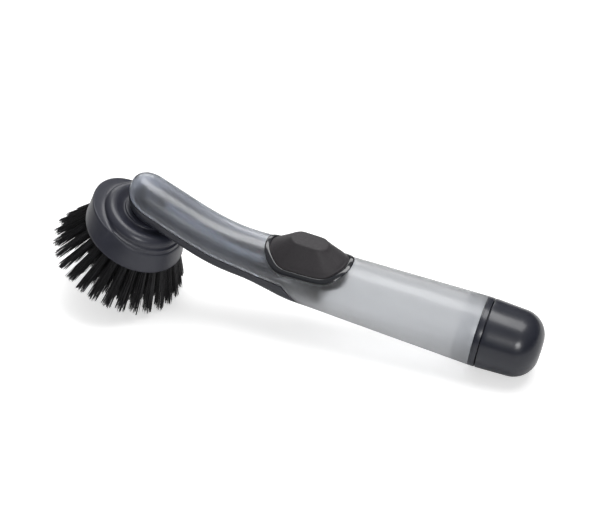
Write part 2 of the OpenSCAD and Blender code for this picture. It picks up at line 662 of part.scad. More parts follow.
// Brush head: a bell with a scraper lip at the front and a round collar
plate_z = 3;
plate_h = 2.5;
socket_wall = 2.4;
lip_tilt = atan(0.08);
function skirt_r(z) = rim_r + (crease_r - rim_r) * z / skirt_h;
function collar_arc(r, from, to, steps) = [for (i = [0 : steps]) let (a = from + (to - from) * i / steps)
    [collar_r + r * cos(a), head_h - collar_round + r * sin(a)]];
stem_top_r = 11.5;
module head_shell() {
    plate_r = skirt_r(plate_z) - head_wall;
    mouth_r = rim_r - 1.4;
    color(head_grey) rest() at_head() difference() {
        union() {
            // Skirt, crease and collar
            rotate_extrude() polygon(concat([[0, 1], [rim_r - 1.4, 1], [rim_r - 1.0, 0.2], [rim_r - 0.6, 0],
                [rim_r - 0.2, 0.1], [rim_r, 0.5], [skirt_r(skirt_h), skirt_h], [crease_r - 0.5, skirt_h + 0.45]],
                collar_arc(collar_round, 0, 120, 12), [[stem_top_r + 1, head_h - 1.4], [stem_top_r, head_h - 1],
                [stem_top_r, head_h], [0, head_h]]));
            // Scraper lip
            intersection() {
                translate([-lip_shift, 0, 0.3])
                    cylinder(r1 = rim_r - lip_shift - 0.1, r2 = lip_r + 0.1, h = skirt_h + 3);
                translate([0, 0, skirt_h - 1.3]) rotate([0, lip_tilt, 0]) translate([-40, -40, -40]) cube([80, 80, 40]);
            }
        }
        // Seat of the bristle plate and the hollow above it
        rotate_extrude() polygon([[0, -1], [mouth_r, -1], [mouth_r, 0.3], [plate_r, slice_z - 0.2],
            [plate_r, plate_z + plate_h], [0, plate_z + plate_h]]);
        difference() {
            rotate_extrude() polygon([[0, plate_z + plate_h - 1], [skirt_r(7) - head_wall, plate_z + plate_h - 1],
                [skirt_r(7) - head_wall, 7], [crease_r - head_wall - 0.4, skirt_h], [collar_r, head_h - 2.2],
                [0, head_h - 2.6]]);
            cylinder(r = spigot_r + spigot_fit + socket_wall, h = head_h);
        }
        // Socket, with the slot of the key
        translate([0, 0, 0]) cylinder(r = spigot_r + spigot_fit, h = head_h + 1);
        translate([0, -key_w / 2 - 0.2, seal_groove_z]) cube([spigot_r + key_h + 0.25, key_w + 0.4, head_h]);
    }
}

flow_r = 3.4;
slice_h = 1;
module bristle_plate() {
    plate_r = skirt_r(plate_z) - head_wall;
    color(head_grey) rest() at_head() difference() {
        translate([0, 0, plate_z]) cylinder(r = plate_r - slip, h = plate_h - 0.05);
        translate([0, 0, plate_z - 1]) cylinder(r = flow_r, h = plate_h + 2);
    }
}

// Bristles: rings of tufts, each ring fused to its own slice of the plate's face
ring_pitch = 4.8;
rings_r = [for (i = [0 : 3]) root_r - i * ring_pitch];
rings_tip_r = [spread_r, spread_r * 0.76, spread_r * 0.52, spread_r * 0.3];
rings_n = [outer_tufts, 21, 14, 8];
strands = 6;
strand_tip_r = 0.42;
slice_z = plate_z - slice_h;
module tuft_ring(i) {
    n = rings_n[i];
    r0 = rings_r[i];
    r1 = rings_tip_r[i];
    z0 = plate_z - slice_h / 2;
    function cluster(k, r) = k == 0 ? [0, 0] : r * [cos(72 * k), sin(72 * k)];
    // Trimmed ends are never quite level
    function trim(t, k) = 0.35 + 0.35 * sin(137.5 * (t * strands + k));
    function corner(t, k, c, low) =
        let (q = cluster(k, low ? tuft_tip_r : tuft_root_r), w = low ? strand_tip_r : strand_r,
            d = [w * cos(120 * c + 47 * k), w * sin(120 * c + 47 * k)], a = 360 * t / n,
            x = (low ? r1 : r0) + q[0] + d[0], y = q[1] + d[1])
        [x * cos(a) - y * sin(a), x * sin(a) + y * cos(a), low ? -bristle_len + trim(t, k) : z0];
    cells = [for (t = [0 : n - 1], k = [0 : strands - 1]) [t, k]];
    pts = [for (s = cells, low = [false, true], c = [0 : 2]) corner(s[0], s[1], c, low)];
    faces = [for (s = [0 : len(cells) - 1]) let (b = 6 * s) each [[b, b + 2, b + 1], [b + 3, b + 4, b + 5],
        [b, b + 4, b + 3], [b, b + 1, b + 4], [b + 1, b + 5, b + 4], [b + 1, b + 2, b + 5],
        [b + 2, b + 3, b + 5], [b + 2, b, b + 3]]];
    r_in = i == 3 ? flow_r : r0 - ring_pitch / 2 + 0.05;
    r_out = i == 0 ? skirt_r(plate_z) - head_wall - slip : r0 + ring_pitch / 2 - 0.05;
    color(bristle_black) rest() at_head() union() {
        translate([0, 0, plate_z - slice_h / 2 - 0.02]) ring_of(r_in, r_out, slice_h - 0.04);
        polyhedron(pts, faces);
    }
}

body_shell();
neck_base();
button_ring();
button_skin();
button_core();
pump_housing();
housing_seal();
pump_bellows();
inlet_valve();
outlet_valve();
delivery_tube();
nozzle_elbow();
nozzle_valve();
valve_retainer();
spigot_seal();
mouth_collar();
cap_seal();
end_cap();
head_shell();
bristle_plate();
tuft_ring(0);  // bristles_outer
tuft_ring(1);  // bristles_second
tuft_ring(2);  // bristles_third
tuft_ring(3);  // bristles_inner
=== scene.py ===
"""Visual model of a soap-filled dish wand with a press button and a round brush head."""

from __future__ import annotations

import json
import logging
import math
from dataclasses import dataclass, field
from enum import Enum
from typing import Callable, Iterable, Sequence

import bpy
import bmesh
import numpy as np
from mathutils import Matrix, Vector


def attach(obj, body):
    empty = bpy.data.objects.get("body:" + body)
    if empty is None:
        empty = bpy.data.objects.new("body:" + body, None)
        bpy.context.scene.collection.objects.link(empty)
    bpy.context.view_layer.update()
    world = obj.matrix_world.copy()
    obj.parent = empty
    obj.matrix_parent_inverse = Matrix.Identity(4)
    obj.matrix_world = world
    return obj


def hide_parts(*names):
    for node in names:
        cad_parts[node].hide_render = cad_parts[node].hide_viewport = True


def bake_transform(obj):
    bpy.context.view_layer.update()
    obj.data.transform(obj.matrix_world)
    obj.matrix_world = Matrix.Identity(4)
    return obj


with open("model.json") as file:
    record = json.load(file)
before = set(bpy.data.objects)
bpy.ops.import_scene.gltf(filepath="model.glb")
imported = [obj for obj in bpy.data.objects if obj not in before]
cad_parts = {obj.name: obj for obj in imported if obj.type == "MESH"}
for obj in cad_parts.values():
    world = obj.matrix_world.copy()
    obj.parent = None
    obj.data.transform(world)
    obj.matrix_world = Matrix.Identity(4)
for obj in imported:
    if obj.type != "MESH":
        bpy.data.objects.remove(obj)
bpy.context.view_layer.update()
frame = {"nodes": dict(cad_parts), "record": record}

log = logging.getLogger("dish_wand")

Point = tuple[float, float, float]
MM = 0.001


class Body(str, Enum):
    """Names of the moving bodies that pieces ride on."""

    WAND = "wand"
    BUTTON = "button"
    WASHER = "cap_washer"
    CAP = "cap"
    HEAD = "head"


@dataclass(frozen=True)
class Placement:
    """A frame of its own for a sub-assembly, in millimetres, placed in the row frame."""

    matrix: Matrix

    def mesh_to_row(self, mesh: bpy.types.Mesh) -> None:
        """Moves a mesh that was made in this frame, in millimetres, into the row frame, in metres."""
        mesh.transform(Matrix.Scale(MM, 4) @ self.matrix)

    def point(self, x: float, y: float, z: float) -> Vector:
        """A point of this frame, in the row frame, in metres."""
        return (self.matrix @ Vector((x, y, z))) * MM

    def within(self, inner: Matrix) -> "Placement":
        """The placement of a frame that lies inside this one."""
        return Placement(self.matrix @ inner)


def wand_placement(record: dict) -> Placement:
    """Finds how the wand lies from the button's travel and the place of its thumb pad.

    Args:
        record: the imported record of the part.

    Returns:
        The placement of the wand's own frame, whose origin is the middle of the grip's mouth.
    """
    press = next(j for j in record["behaviour"]["joints"] if j["name"] == "button_press")
    pad = next(m for m in record["mounts"] if m["name"] == "thumb_pad")
    tilt = math.atan2(-press["axis"][0], -press["axis"][2])
    turn = Matrix.Rotation(tilt, 4, "Y")
    pad_local = Vector((-BUTTON.back + BUTTON.top_shift, 0.0, BUTTON.top_z))
    origin = Vector(pad["pos_m"]) / MM - turn @ pad_local
    return Placement(Matrix.Translation(origin) @ turn)


def ease(t: float) -> float:
    """Smooth step from 0 to 1."""
    c = min(1.0, max(0.0, t))
    return c * c * (3 - 2 * c)


@dataclass(frozen=True)
class Outline:
    """The wand's outside: a tapered round grip that runs into a bent neck with an arched top."""

    grip_r: float = 18.0
    grip_len: float = 95.0
    grip_taper: float = 5.6
    neck_len: float = 94.5
    neck_w: float = 25.5
    tip_rise: float = 20.8
    bend_at: float = 0.46
    bend_soft: float = 0.17
    base_depth: float = 7.0
    nose_len: float = 13.0
    nose_power: float = 2.4
    waist: float = 0.4
    arch_ratio: float = 1.03
    tip_drop: float = 1.6
    drop_from: float = 0.66
    tongue_len: float = 9.0
    tongue_run: float = 14.0
    belly: float = 2.6
    belly_at: float = 0.32
    flatten_from: float = 0.3
    flatten_over: float = 0.5
    tip_square: float = 5.0

    @property
    def tongue_x(self) -> float:
        """Where the neck's base ends under the grip."""
        return -self.grip_len + self.tongue_len

    @property
    def nose_x(self) -> float:
        """Where the rounded tip begins."""
        return -self.grip_len - self.neck_len + self.nose_len

    def radius(self, x: float) -> float:
        """Radius of the round grip at x."""
        return self.grip_r + x * self.grip_taper / 2 / self.grip_len

    def share(self, x: float) -> float:
        """How far along the neck x is, from 0 to 1."""
        return max(0.0, (-self.grip_len - x) / self.neck_len)

    def _ramp(self, s: float) -> float:
        """Height curve of the bend, before it is scaled."""
        return math.sqrt((s - self.bend_at) ** 2 + self.bend_soft**2) + s - self.bend_at

    def seam_z(self, x: float) -> float:
        """Height of the seam between the shell and the neck's base."""
        low = self._ramp(0)
        return self.tip_rise * (self._ramp(self.share(x)) - low) / (self._ramp(1) - low)

    def half_w(self, x: float) -> float:
        """Half width of the section at x."""
        k = ease(self.share(x) / self.waist)
        return self.radius(x) * (1 - k) + self.neck_w / 2 * k

    def arch_h(self, x: float) -> float:
        """Height of the arch above the seam at x.

        Args:
            x: place along the wand.

        Returns:
            The height in millimetres.
        """
        k = ease(self.share(x) / self.waist)
        drop = max(0.0, (self.share(x) - self.drop_from) / (1 - self.drop_from)) ** 2
        return self.half_w(x) * (1 + (self.arch_ratio - 1) * k) - self.tip_drop * drop

    def depth(self, x: float) -> float:
        """Depth of the section below the seam at x.

        Args:
            x: place along the wand.

        Returns:
            The depth in millimetres.
        """
        s = self.share(x)
        mid = self.base_depth + self.belly
        k = ease(s / self.belly_at)
        flatter = (mid - self.base_depth) * ease((s - self.flatten_from) / self.flatten_over)
        return self.radius(x) * (1 - k) + mid * k - flatter

    def squareness(self, x: float) -> float:
        """How square the underside is at x, where 2 is round."""
        return 2 + self.tip_square * self.share(x) ** 2

    def section(self, x: float, inset: float, angle: float, across: float = 1.0,
                upright: float = 1.0, gap: float = 0.0) -> Point:
        """One point of the section at x.

        Args:
            x: place along the wand.
            inset: how far the section is drawn in.
            angle: angle from the section's top, in degrees.
            across: share of the width that is left, near the tip.
            upright: share of the height that is left, near the tip.
            gap: how far below the seam the lower half starts.

        Returns:
            The point in the wand's frame.
        """
        m = angle - 360 if angle > 180 else angle
        w = (self.half_w(x) - inset) * across
        a = math.radians(m)
        if abs(m) <= 90 and gap == 0:
            return x, w * math.sin(a), self.seam_z(x) + (self.arch_h(x) - inset) * upright * math.cos(a)
        e = 2 / self.squareness(x)
        down = (self.depth(x) - inset) * upright - gap
        side = math.copysign(abs(math.sin(a)) ** e, math.sin(a))
        return x, w * side, self.seam_z(x) - gap - down * abs(math.cos(a)) ** e

    def edge_angle(self, x: float, end: float) -> float:
        """Angle from the top at which the shell ends, where the neck's base ends at `end`.

        Args:
            x: place along the wand.
            end: where the neck's base ends.

        Returns:
            The angle in degrees.
        """
        if x >= end:
            return 180.0
        if x <= end - self.tongue_run:
            return 90.0
        return 180 - 90 * math.sqrt((end - x) / self.tongue_run)

    def station(self, x: float, nose: float, inset: float, angle: float, gap: float) -> Point:
        """A point of the skin at a station, where `nose` is the angle that the tip has turned through.

        Args:
            x: the station's place along the wand.
            nose: the angle that the tip has turned through, in degrees.
            inset: how far the section is drawn in.
            angle: angle from the section's top, in degrees.
            gap: how far below the seam the lower half starts.

        Returns:
            The point in the wand's frame.
        """
        n = math.radians(nose)
        if nose >= 90:
            return self.section(x - (self.nose_len - inset), inset, angle, 0, 0, gap)
        up = (1 - math.sin(n) ** self.nose_power) ** (1 / self.nose_power)
        return self.section(x - (self.nose_len - inset) * math.sin(n), inset, angle, math.cos(n), up, gap)

    def top(self, x: float, y: float, rise: float = 0.0) -> Point:
        """A point over the wand's upper side, raised along the surface's normal.

        Args:
            x: place along the wand.
            y: place across the wand.
            rise: how far it is raised.

        Returns:
            The point in the wand's frame.
        """
        w, h, z0 = self.half_w(x), self.arch_h(x), self.seam_z(x)
        z = h * math.sqrt(max(0.0, 1 - (y / w) ** 2))
        ny, nz = y / w**2, z / h**2
        size = math.hypot(ny, nz)
        return x, y + ny / size * rise, z0 + z + nz / size * rise


OUTLINE = Outline()
SHELL_WALL = 2.2


@dataclass
class MeshData:
    """Points and faces that are gathered before they become a mesh."""

    points: list[Point] = field(default_factory=list)
    faces: list[tuple[int, ...]] = field(default_factory=list)

    def add_row(self, row: Iterable[Point]) -> list[int]:
        """Adds points and returns their indices.

        Args:
            row: the points.

        Returns:
            The indices, in the points' order.
        """
        first = len(self.points)
        self.points.extend(row)
        return list(range(first, len(self.points)))

    def bridge(self, a: Sequence[int], b: Sequence[int], closed: bool = True, flip: bool = False) -> None:
        """Joins two rows of equal length, or a row and a single point, with faces.

        Args:
            a: indices of one row.
            b: indices of the other row.
            closed: whether the rows are rings.
            flip: whether the faces turn the other way.
        """
        n = max(len(a), len(b))
        for j in range(n if closed else n - 1):
            k = (j + 1) % n
            loop = [a[j % len(a)], a[k % len(a)], b[k % len(b)], b[j % len(b)]]
            loop = [v for i, v in enumerate(loop) if v not in loop[:i]]
            if len(loop) > 2:
                self.faces.append(tuple(reversed(loop)) if flip else tuple(loop))

    def to_object(self, name: str, place: Placement) -> bpy.types.Object:
        """Makes an object whose mesh lies in the row frame.

        Args:
            name: name of the object.
            place: frame that the points are in.

        Returns:
            The object.
        """
        mesh = bpy.data.meshes.new(name)
        mesh.from_pydata(self.points, [], self.faces)
        place.mesh_to_row(mesh)
        return link_object(name, mesh)


def link_object(name: str, mesh: bpy.types.Mesh) -> bpy.types.Object:
    """Puts a mesh into the scene as an object at the origin.

    Args:
        name: name of the object.
        mesh: its mesh, in the row frame.

    Returns:
        The object.
    """
    obj = bpy.data.objects.new(name, mesh)
    bpy.context.scene.collection.objects.link(obj)
    return obj


def outward(obj: bpy.types.Object) -> None:
    """Merges doubles and turns the faces of a closed mesh outwards.

    Args:
        obj: the object, whose mesh is closed.
    """
    bm = bmesh.new()
    bm.from_mesh(obj.data)
    bmesh.ops.remove_doubles(bm, verts=bm.verts, dist=1e-6)
    bmesh.ops.recalc_face_normals(bm, faces=bm.faces)
    bm.to_mesh(obj.data)
    bm.free()


def smooth(obj: bpy.types.Object, angle: float = 35.0) -> None:
    """Shades an object smooth, with sharp edges above an angle in degrees."""
    obj.data.shade_smooth()
    obj.data.set_sharp_from_angle(angle=math.radians(angle))


def bevel(obj: bpy.types.Object, width: float) -> None:
    """Rounds an object's hard edges.

    Args:
        obj: the object, whose mesh is in metres.
        width: width of the round in metres.
    """
    edge = obj.modifiers.new("edge", "BEVEL")
    edge.width, edge.segments = width, 2
    edge.limit_method, edge.angle_limit = "ANGLE", math.radians(50)
    apply_modifiers(obj)


def apply_modifiers(obj: bpy.types.Object) -> None:
    """Bakes an object's modifiers into its mesh and removes them.

    Args:
        obj: the object.
    """
    graph = bpy.context.evaluated_depsgraph_get()
    mesh = bpy.data.meshes.new_from_object(obj.evaluated_get(graph), depsgraph=graph)
    obj.modifiers.clear()
    old, obj.data = obj.data, mesh
    bpy.data.meshes.remove(old)


def revolve(name: str, profile: Sequence[tuple[float, float]], place: Placement,
            steps: int = 128) -> bpy.types.Object:
    """Turns a closed profile of (radius, height) pairs about the frame's Z axis.

    Args:
        name: name of the object.
        profile: the profile's corners in order; a corner on the axis has radius 0.
        place: frame whose Z is the axis.
        steps: number of steps round.

    Returns:
        The object, with its faces outwards.
    """
    data = MeshData()
    rows = []
    for r, h in profile:
        if r < 1e-6:
            rows.append(data.add_row([(0.0, 0.0, h)]))
        else:
            turn = [2 * math.pi * j / steps for j in range(steps)]
            rows.append(data.add_row([(r * math.cos(a), r * math.sin(a), h) for a in turn]))
    for a, b in zip(rows, rows[1:] + rows[:1]):
        if len(a) > 1 or len(b) > 1:
            data.bridge(a, b)
    obj = data.to_object(name, place)
    outward(obj)
    return obj


def arc(cx: float, cy: float, r: float, start: float, end: float, steps: int) -> list[tuple[float, float]]:
    """Points of an arc in a profile, with its angles in degrees."""
    turn = [math.radians(start + (end - start) * i / steps) for i in range(steps + 1)]
    return [(cx + r * math.cos(a), cy + r * math.sin(a)) for a in turn]


class Shader:
    """A material under construction: a Principled shader and the nodes that feed it."""

    def __init__(self, name: str) -> None:
        """Starts a material with this name.

        Args:
            name: name of the material.
        """
        self.material = bpy.data.materials.new(name)
        self.material.use_nodes = True
        self.tree = self.material.node_tree
        self.bsdf = self.tree.nodes["Principled BSDF"]
        self.coords = self.tree.nodes.new("ShaderNodeTexCoord").outputs["Object"]

    def set(self, **values: float | Sequence[float]) -> None:
        """Sets uniform values on the shader's own sockets, with underscores for spaces."""
        for key, value in values.items():
            self.bsdf.inputs[key.replace("_", " ")].default_value = value

    def node(self, kind: str, **settings: object) -> bpy.types.Node:
        """Adds a node and sets its properties.

        Args:
            kind: the node's type.
            settings: its properties.

        Returns:
            The node.
        """
        made = self.tree.nodes.new(kind)
        for key, value in settings.items():
            setattr(made, key, value)
        return made

    def link(self, source: bpy.types.NodeSocket, target: bpy.types.NodeSocket) -> None:
        """Joins two sockets."""
        self.tree.links.new(source, target)

    def noise(self, scale: float, detail: float = 3.0,
              stretch: Sequence[float] = (1, 1, 1)) -> bpy.types.NodeSocket:
        """Fractal noise over the object, in cycles per metre, stretched along its axes.

        Args:
            scale: how fine the noise is, in cycles per metre.
            detail: how many finer layers it has.
            stretch: factors along the three axes; below 1 draws the noise out.

        Returns:
            The noise, from 0 to 1.
        """
        mapping = self.node("ShaderNodeMapping")
        mapping.inputs["Scale"].default_value = stretch
        self.link(self.coords, mapping.inputs["Vector"])
        made = self.node("ShaderNodeTexNoise")
        made.inputs["Scale"].default_value = scale
        made.inputs["Detail"].default_value = detail
        self.link(mapping.outputs["Vector"], made.inputs["Vector"])
        return made.outputs["Fac"]

    def ramp(self, source: bpy.types.NodeSocket, low: Sequence[float], high: Sequence[float],
             start: float = 0.3, end: float = 0.7) -> bpy.types.NodeSocket:
        """Colour that runs from low to high as the source runs from start to end.

        Args:
            source: what drives the colour.
            low: the colour at start.
            high: the colour at end.
            start: the source's value at low.
            end: the source's value at high.

        Returns:
            The colour.
        """
        made = self.node("ShaderNodeValToRGB")
        ramp = made.color_ramp
        ramp.elements[0].position, ramp.elements[1].position = start, end
        ramp.elements[0].color = (*low[:3], 1)
        ramp.elements[1].color = (*high[:3], 1)
        self.link(source, made.inputs["Fac"])
        return made.outputs["Color"]

    def spread(self, source: bpy.types.NodeSocket, low: float, high: float,
               start: float = 0.3, end: float = 0.7) -> bpy.types.NodeSocket:
        """Number that runs from low to high as the source runs from start to end.

        Args:
            source: what drives the number.
            low: the number at start.
            high: the number at end.
            start: the source's value at low.
            end: the source's value at high.

        Returns:
            The number.
        """
        made = self.node("ShaderNodeMapRange")
        for key, value in (("From Min", start), ("From Max", end), ("To Min", low), ("To Max", high)):
            made.inputs[key].default_value = value
        self.link(source, made.inputs["Value"])
        return made.outputs["Result"]

    def bump(self, source: bpy.types.NodeSocket, distance: float, strength: float = 1.0) -> None:
        """Bumps the surface by a height in metres.

        Args:
            source: the height, from 0 to 1.
            distance: height of a full step in metres.
            strength: how strongly it shows.
        """
        made = self.node("ShaderNodeBump")
        made.inputs["Strength"].default_value = strength
        made.inputs["Distance"].default_value = distance
        self.link(source, made.inputs["Height"])
        self.link(made.outputs["Normal"], self.bsdf.inputs["Normal"])


@dataclass(frozen=True)
class MouldedPlastic:
    """Opaque moulded plastic with a faint grain and patchy sheen."""

    name: str
    color: tuple[float, float, float]
    roughness: tuple[float, float] = (0.38, 0.5)
    grain: float = 0.00004
    grain_scale: float = 2600.0
    coat: float = 0.0
    coat_roughness: float = 0.08

    def build(self) -> bpy.types.Material:
        """Makes the material.

        Returns:
            The material.
        """
        s = Shader(self.name)
        patches = s.noise(45, 4)
        lighter = [min(1.0, c * 1.12) for c in self.color]
        darker = [c * 0.9 for c in self.color]
        s.link(s.ramp(patches, darker, lighter), s.bsdf.inputs["Base Color"])
        s.link(s.spread(s.noise(120, 5), *self.roughness), s.bsdf.inputs["Roughness"])
        s.set(Coat_Weight=self.coat, Coat_Roughness=self.coat_roughness, IOR=1.5)
        s.bump(s.noise(self.grain_scale, 2), self.grain, 0.6)
        return s.material


@dataclass(frozen=True)
class ClearShell:
    """See-through plastic: polished over the neck, finely frosted and streaked along the grip."""

    name: str = "clear_shell"
    tip: tuple[float, float, float] = (0.4, 0.43, 0.5)
    neck: tuple[float, float, float] = (0.59, 0.62, 0.685)
    grip: tuple[float, float, float] = (0.655, 0.665, 0.68)
    polished: float = 0.37
    frosted: float = 0.36
    clear: float = 0.95
    gloss: tuple[float, float] = (1.0, 0.3)
    tint_run: tuple[float, float] = (-0.095, 0.02)
    clear_run: tuple[float, float] = (-0.04, 0.02)
    gloss_run: tuple[float, float] = (-0.03, 0.03)
    frost_run: tuple[float, float] = (-0.02, 0.03)

    def build(self) -> bpy.types.Material:
        """Makes the material.

        Returns:
            The material.
        """
        s = Shader(self.name)
        s.set(IOR=1.4, Coat_Roughness=0.2)
        split = s.node("ShaderNodeSeparateXYZ")
        s.link(s.coords, split.inputs["Vector"])
        tint = s.node("ShaderNodeValToRGB")
        ramp = tint.color_ramp
        ramp.elements[0].position, ramp.elements[0].color = 0.0, (*self.tip, 1)
        ramp.elements[1].position, ramp.elements[1].color = 1.0, (*self.grip, 1)
        ramp.elements.new(0.55).color = (*self.neck, 1)
        x = split.outputs["X"]
        s.link(s.spread(x, 0, 1, *self.tint_run), tint.inputs["Fac"])
        s.link(tint.outputs["Color"], s.bsdf.inputs["Base Color"])
        s.link(s.spread(x, self.clear, 1.0, *self.clear_run), s.bsdf.inputs["Transmission Weight"])
        s.link(s.spread(x, *self.gloss, *self.gloss_run), s.bsdf.inputs["Coat Weight"])
        along = s.spread(x, self.polished, self.frosted, *self.frost_run)
        streak = s.noise(260, 3, (0.06, 1, 1))
        mix = s.node("ShaderNodeMath", operation="MULTIPLY")
        s.link(along, mix.inputs[0])
        s.link(s.spread(streak, 0.85, 1.2), mix.inputs[1])
        s.link(mix.outputs[0], s.bsdf.inputs["Roughness"])
        s.bump(streak, 0.00003, 0.35)
        return s.material


@dataclass(frozen=True)
class ClearPlug:
    """Thin untinted plastic, wetted by what it sits in, with a trace of haze."""

    name: str = "clear_plug"
    color: tuple[float, float, float] = (0.95, 0.955, 0.965)

    def build(self) -> bpy.types.Material:
        """Makes the material.

        Returns:
            The material.
        """
        s = Shader(self.name)
        s.set(Transmission_Weight=1.0, IOR=1.08)
        cloudy = s.noise(140, 3, (0.3, 1, 1))
        s.link(s.ramp(cloudy, [c * 0.97 for c in self.color], self.color), s.bsdf.inputs["Base Color"])
        s.link(s.spread(cloudy, 0.16, 0.24), s.bsdf.inputs["Roughness"])
        return s.material


@dataclass(frozen=True)
class SoftTouch:
    """Matt rubbery skin with a velvety sheen."""

    name: str = "soft_touch"
    color: tuple[float, float, float] = (0.022, 0.019, 0.022)

    def build(self) -> bpy.types.Material:
        """Makes the material.

        Returns:
            The material.
        """
        s = Shader(self.name)
        lighter = [c * 1.25 for c in self.color]
        s.link(s.ramp(s.noise(60, 4), self.color, lighter), s.bsdf.inputs["Base Color"])
        s.link(s.spread(s.noise(900, 3), 0.5, 0.64), s.bsdf.inputs["Roughness"])
        s.set(Sheen_Weight=0.12, Sheen_Roughness=0.5)
        s.bump(s.noise(5200, 2), 0.00003, 0.7)
        return s.material


@dataclass(frozen=True)
class Nylon:
    """Black nylon filament, with a narrow sheen along each strand."""

    name: str = "black_nylon"
    color: tuple[float, float, float] = (0.006, 0.006, 0.007)

    def build(self) -> bpy.types.Material:
        """Makes the material.

        Returns:
            The material.
        """
        s = Shader(self.name)
        lighter = [c * 2.2 for c in self.color]
        s.link(s.ramp(s.noise(300, 2), self.color, lighter), s.bsdf.inputs["Base Color"])
        s.link(s.spread(s.noise(700, 2), 0.28, 0.45), s.bsdf.inputs["Roughness"])
        return s.material


@dataclass(frozen=True)
class Silicone:
    """Milky silicone for the tube and the valves."""

    name: str = "milky_silicone"
    color: tuple[float, float, float] = (0.55, 0.57, 0.6)

    def build(self) -> bpy.types.Material:
        """Makes the material.

        Returns:
            The material.
        """
        s = Shader(self.name)
        darker = [c * 0.93 for c in self.color]
        s.link(s.ramp(s.noise(90, 3), darker, self.color), s.bsdf.inputs["Base Color"])
        s.link(s.spread(s.noise(400, 3), 0.3, 0.42), s.bsdf.inputs["Roughness"])
        s.set(Subsurface_Weight=0.1, Subsurface_Scale=0.002)
        return s.material


@dataclass(frozen=True)
class Finishes:
    """Every finish that the wand uses, made once."""

    shell: bpy.types.Material
    plug: bpy.types.Material
    base: bpy.types.Material
    trim: bpy.types.Material
    button: bpy.types.Material
    seal: bpy.types.Material
    silicone: bpy.types.Material
    cap: bpy.types.Material
    head: bpy.types.Material
    nylon: bpy.types.Material
    inner: bpy.types.Material

    @staticmethod
    def make() -> "Finishes":
        """Builds the materials.

        Returns:
            The finishes.
        """
        return Finishes(
            shell=ClearShell().build(),
            plug=ClearPlug().build(),
            base=MouldedPlastic("base_plastic", (0.019, 0.021, 0.03), (0.34, 0.44)).build(),
            trim=MouldedPlastic("gloss_trim", (0.013, 0.014, 0.018), (0.1, 0.18), grain=0.00001,
                                coat=0.6).build(),
            button=SoftTouch().build(),
            seal=MouldedPlastic("black_seal", (0.012, 0.012, 0.013), (0.4, 0.5)).build(),
            silicone=Silicone().build(),
            cap=MouldedPlastic("cap_plastic", (0.011, 0.013, 0.023), (0.3, 0.4), grain=0.00002, coat=0.35,
                               coat_roughness=0.16).build(),
            head=MouldedPlastic("head_plastic", (0.026, 0.0275, 0.041), (0.34, 0.44), coat=0.25,
                                coat_roughness=0.25).build(),
            nylon=Nylon().build(),
            inner=MouldedPlastic("inner_plastic", (0.03, 0.031, 0.036), (0.4, 0.5)).build(),
        )


@dataclass
class Skin:
    """A wall of even thickness over the wand's outline, whose ends follow the tongue's edge."""

    stations: list[tuple[float, float]]
    spans: list[tuple[float, float]]
    step: float
    wall: float
    closed_rows: int = 0
    gap: float = 0.0

    def _row(self, data: MeshData, i: int, inset: float) -> dict[int, int]:
        """Adds one row of points and returns them by their place on the grid of angles.

        Args:
            data: what gathers the points.
            i: number of the station.
            inset: how far the row is drawn in.

        Returns:
            The indices of the points by their place on the grid.
        """
        x, nose = self.stations[i]
        low, high = self.spans[i]
        near = 1e-3
        lo, hi = math.floor(low / self.step + near), math.ceil(high / self.step - near)
        if nose >= 90:
            made = data.add_row([OUTLINE.station(x, nose, inset, low, self.gap)])
            return {lo: made[0]}
        last = hi - 1 if i < self.closed_rows else hi
        grid = range(lo, last + 1)
        angles = [max(low, min(high, self.step * j)) for j in grid]
        made = data.add_row([OUTLINE.station(x, nose, inset, angle, self.gap) for angle in angles])
        row = dict(zip(grid, made))
        if i < self.closed_rows:
            row[hi] = made[0]
        return row

    def build(self) -> MeshData:
        """Makes the closed skin.

        Returns:
            Its points and faces, in the wand's frame.
        """
        data = MeshData()
        count = len(self.stations)
        sides = [[self._row(data, i, inset) for i in range(count)] for inset in (0.0, self.wall)]
        j0 = min(min(r) for r in sides[0])
        j1 = max(max(r) for r in sides[0])

        def at(row: dict[int, int], j: int) -> int:
            """Index of the point at j, held to the row's own ends."""
            return row[max(min(row), min(max(row), j))]

        def face(*loop: int) -> None:
            """Adds a face, unless it has no area.

            Args:
                loop: indices of its corners.
            """
            kept = tuple(v for i, v in enumerate(loop) if v not in loop[:i])
            if len(kept) > 2:
                data.faces.append(kept)

        for flip, rows in zip((False, True), sides):
            for a, b in zip(rows, rows[1:]):
                for j in range(j0, j1):
                    quad = (at(a, j), at(b, j), at(b, j + 1), at(a, j + 1))
                    face(*(reversed(quad) if flip else quad))
        outer, inner = sides
        if self.closed_rows:
            for j in range(j0, j1):
                face(at(outer[0], j), at(outer[0], j + 1), at(inner[0], j + 1), at(inner[0], j))
        for i in range(max(0, self.closed_rows - 1), count - 1):
            for j, turn in ((j0, 1), (j1, -1)):
                face(*(at(outer[i], j), at(inner[i], j), at(inner[i + 1], j), at(outer[i + 1], j))[::turn])
        return data


GRIP_ROWS = 32
TONGUE_ROWS = 22
NECK_ROWS = 61
NOSE_ROWS = 19
TONGUE_CLEAR = 1.5


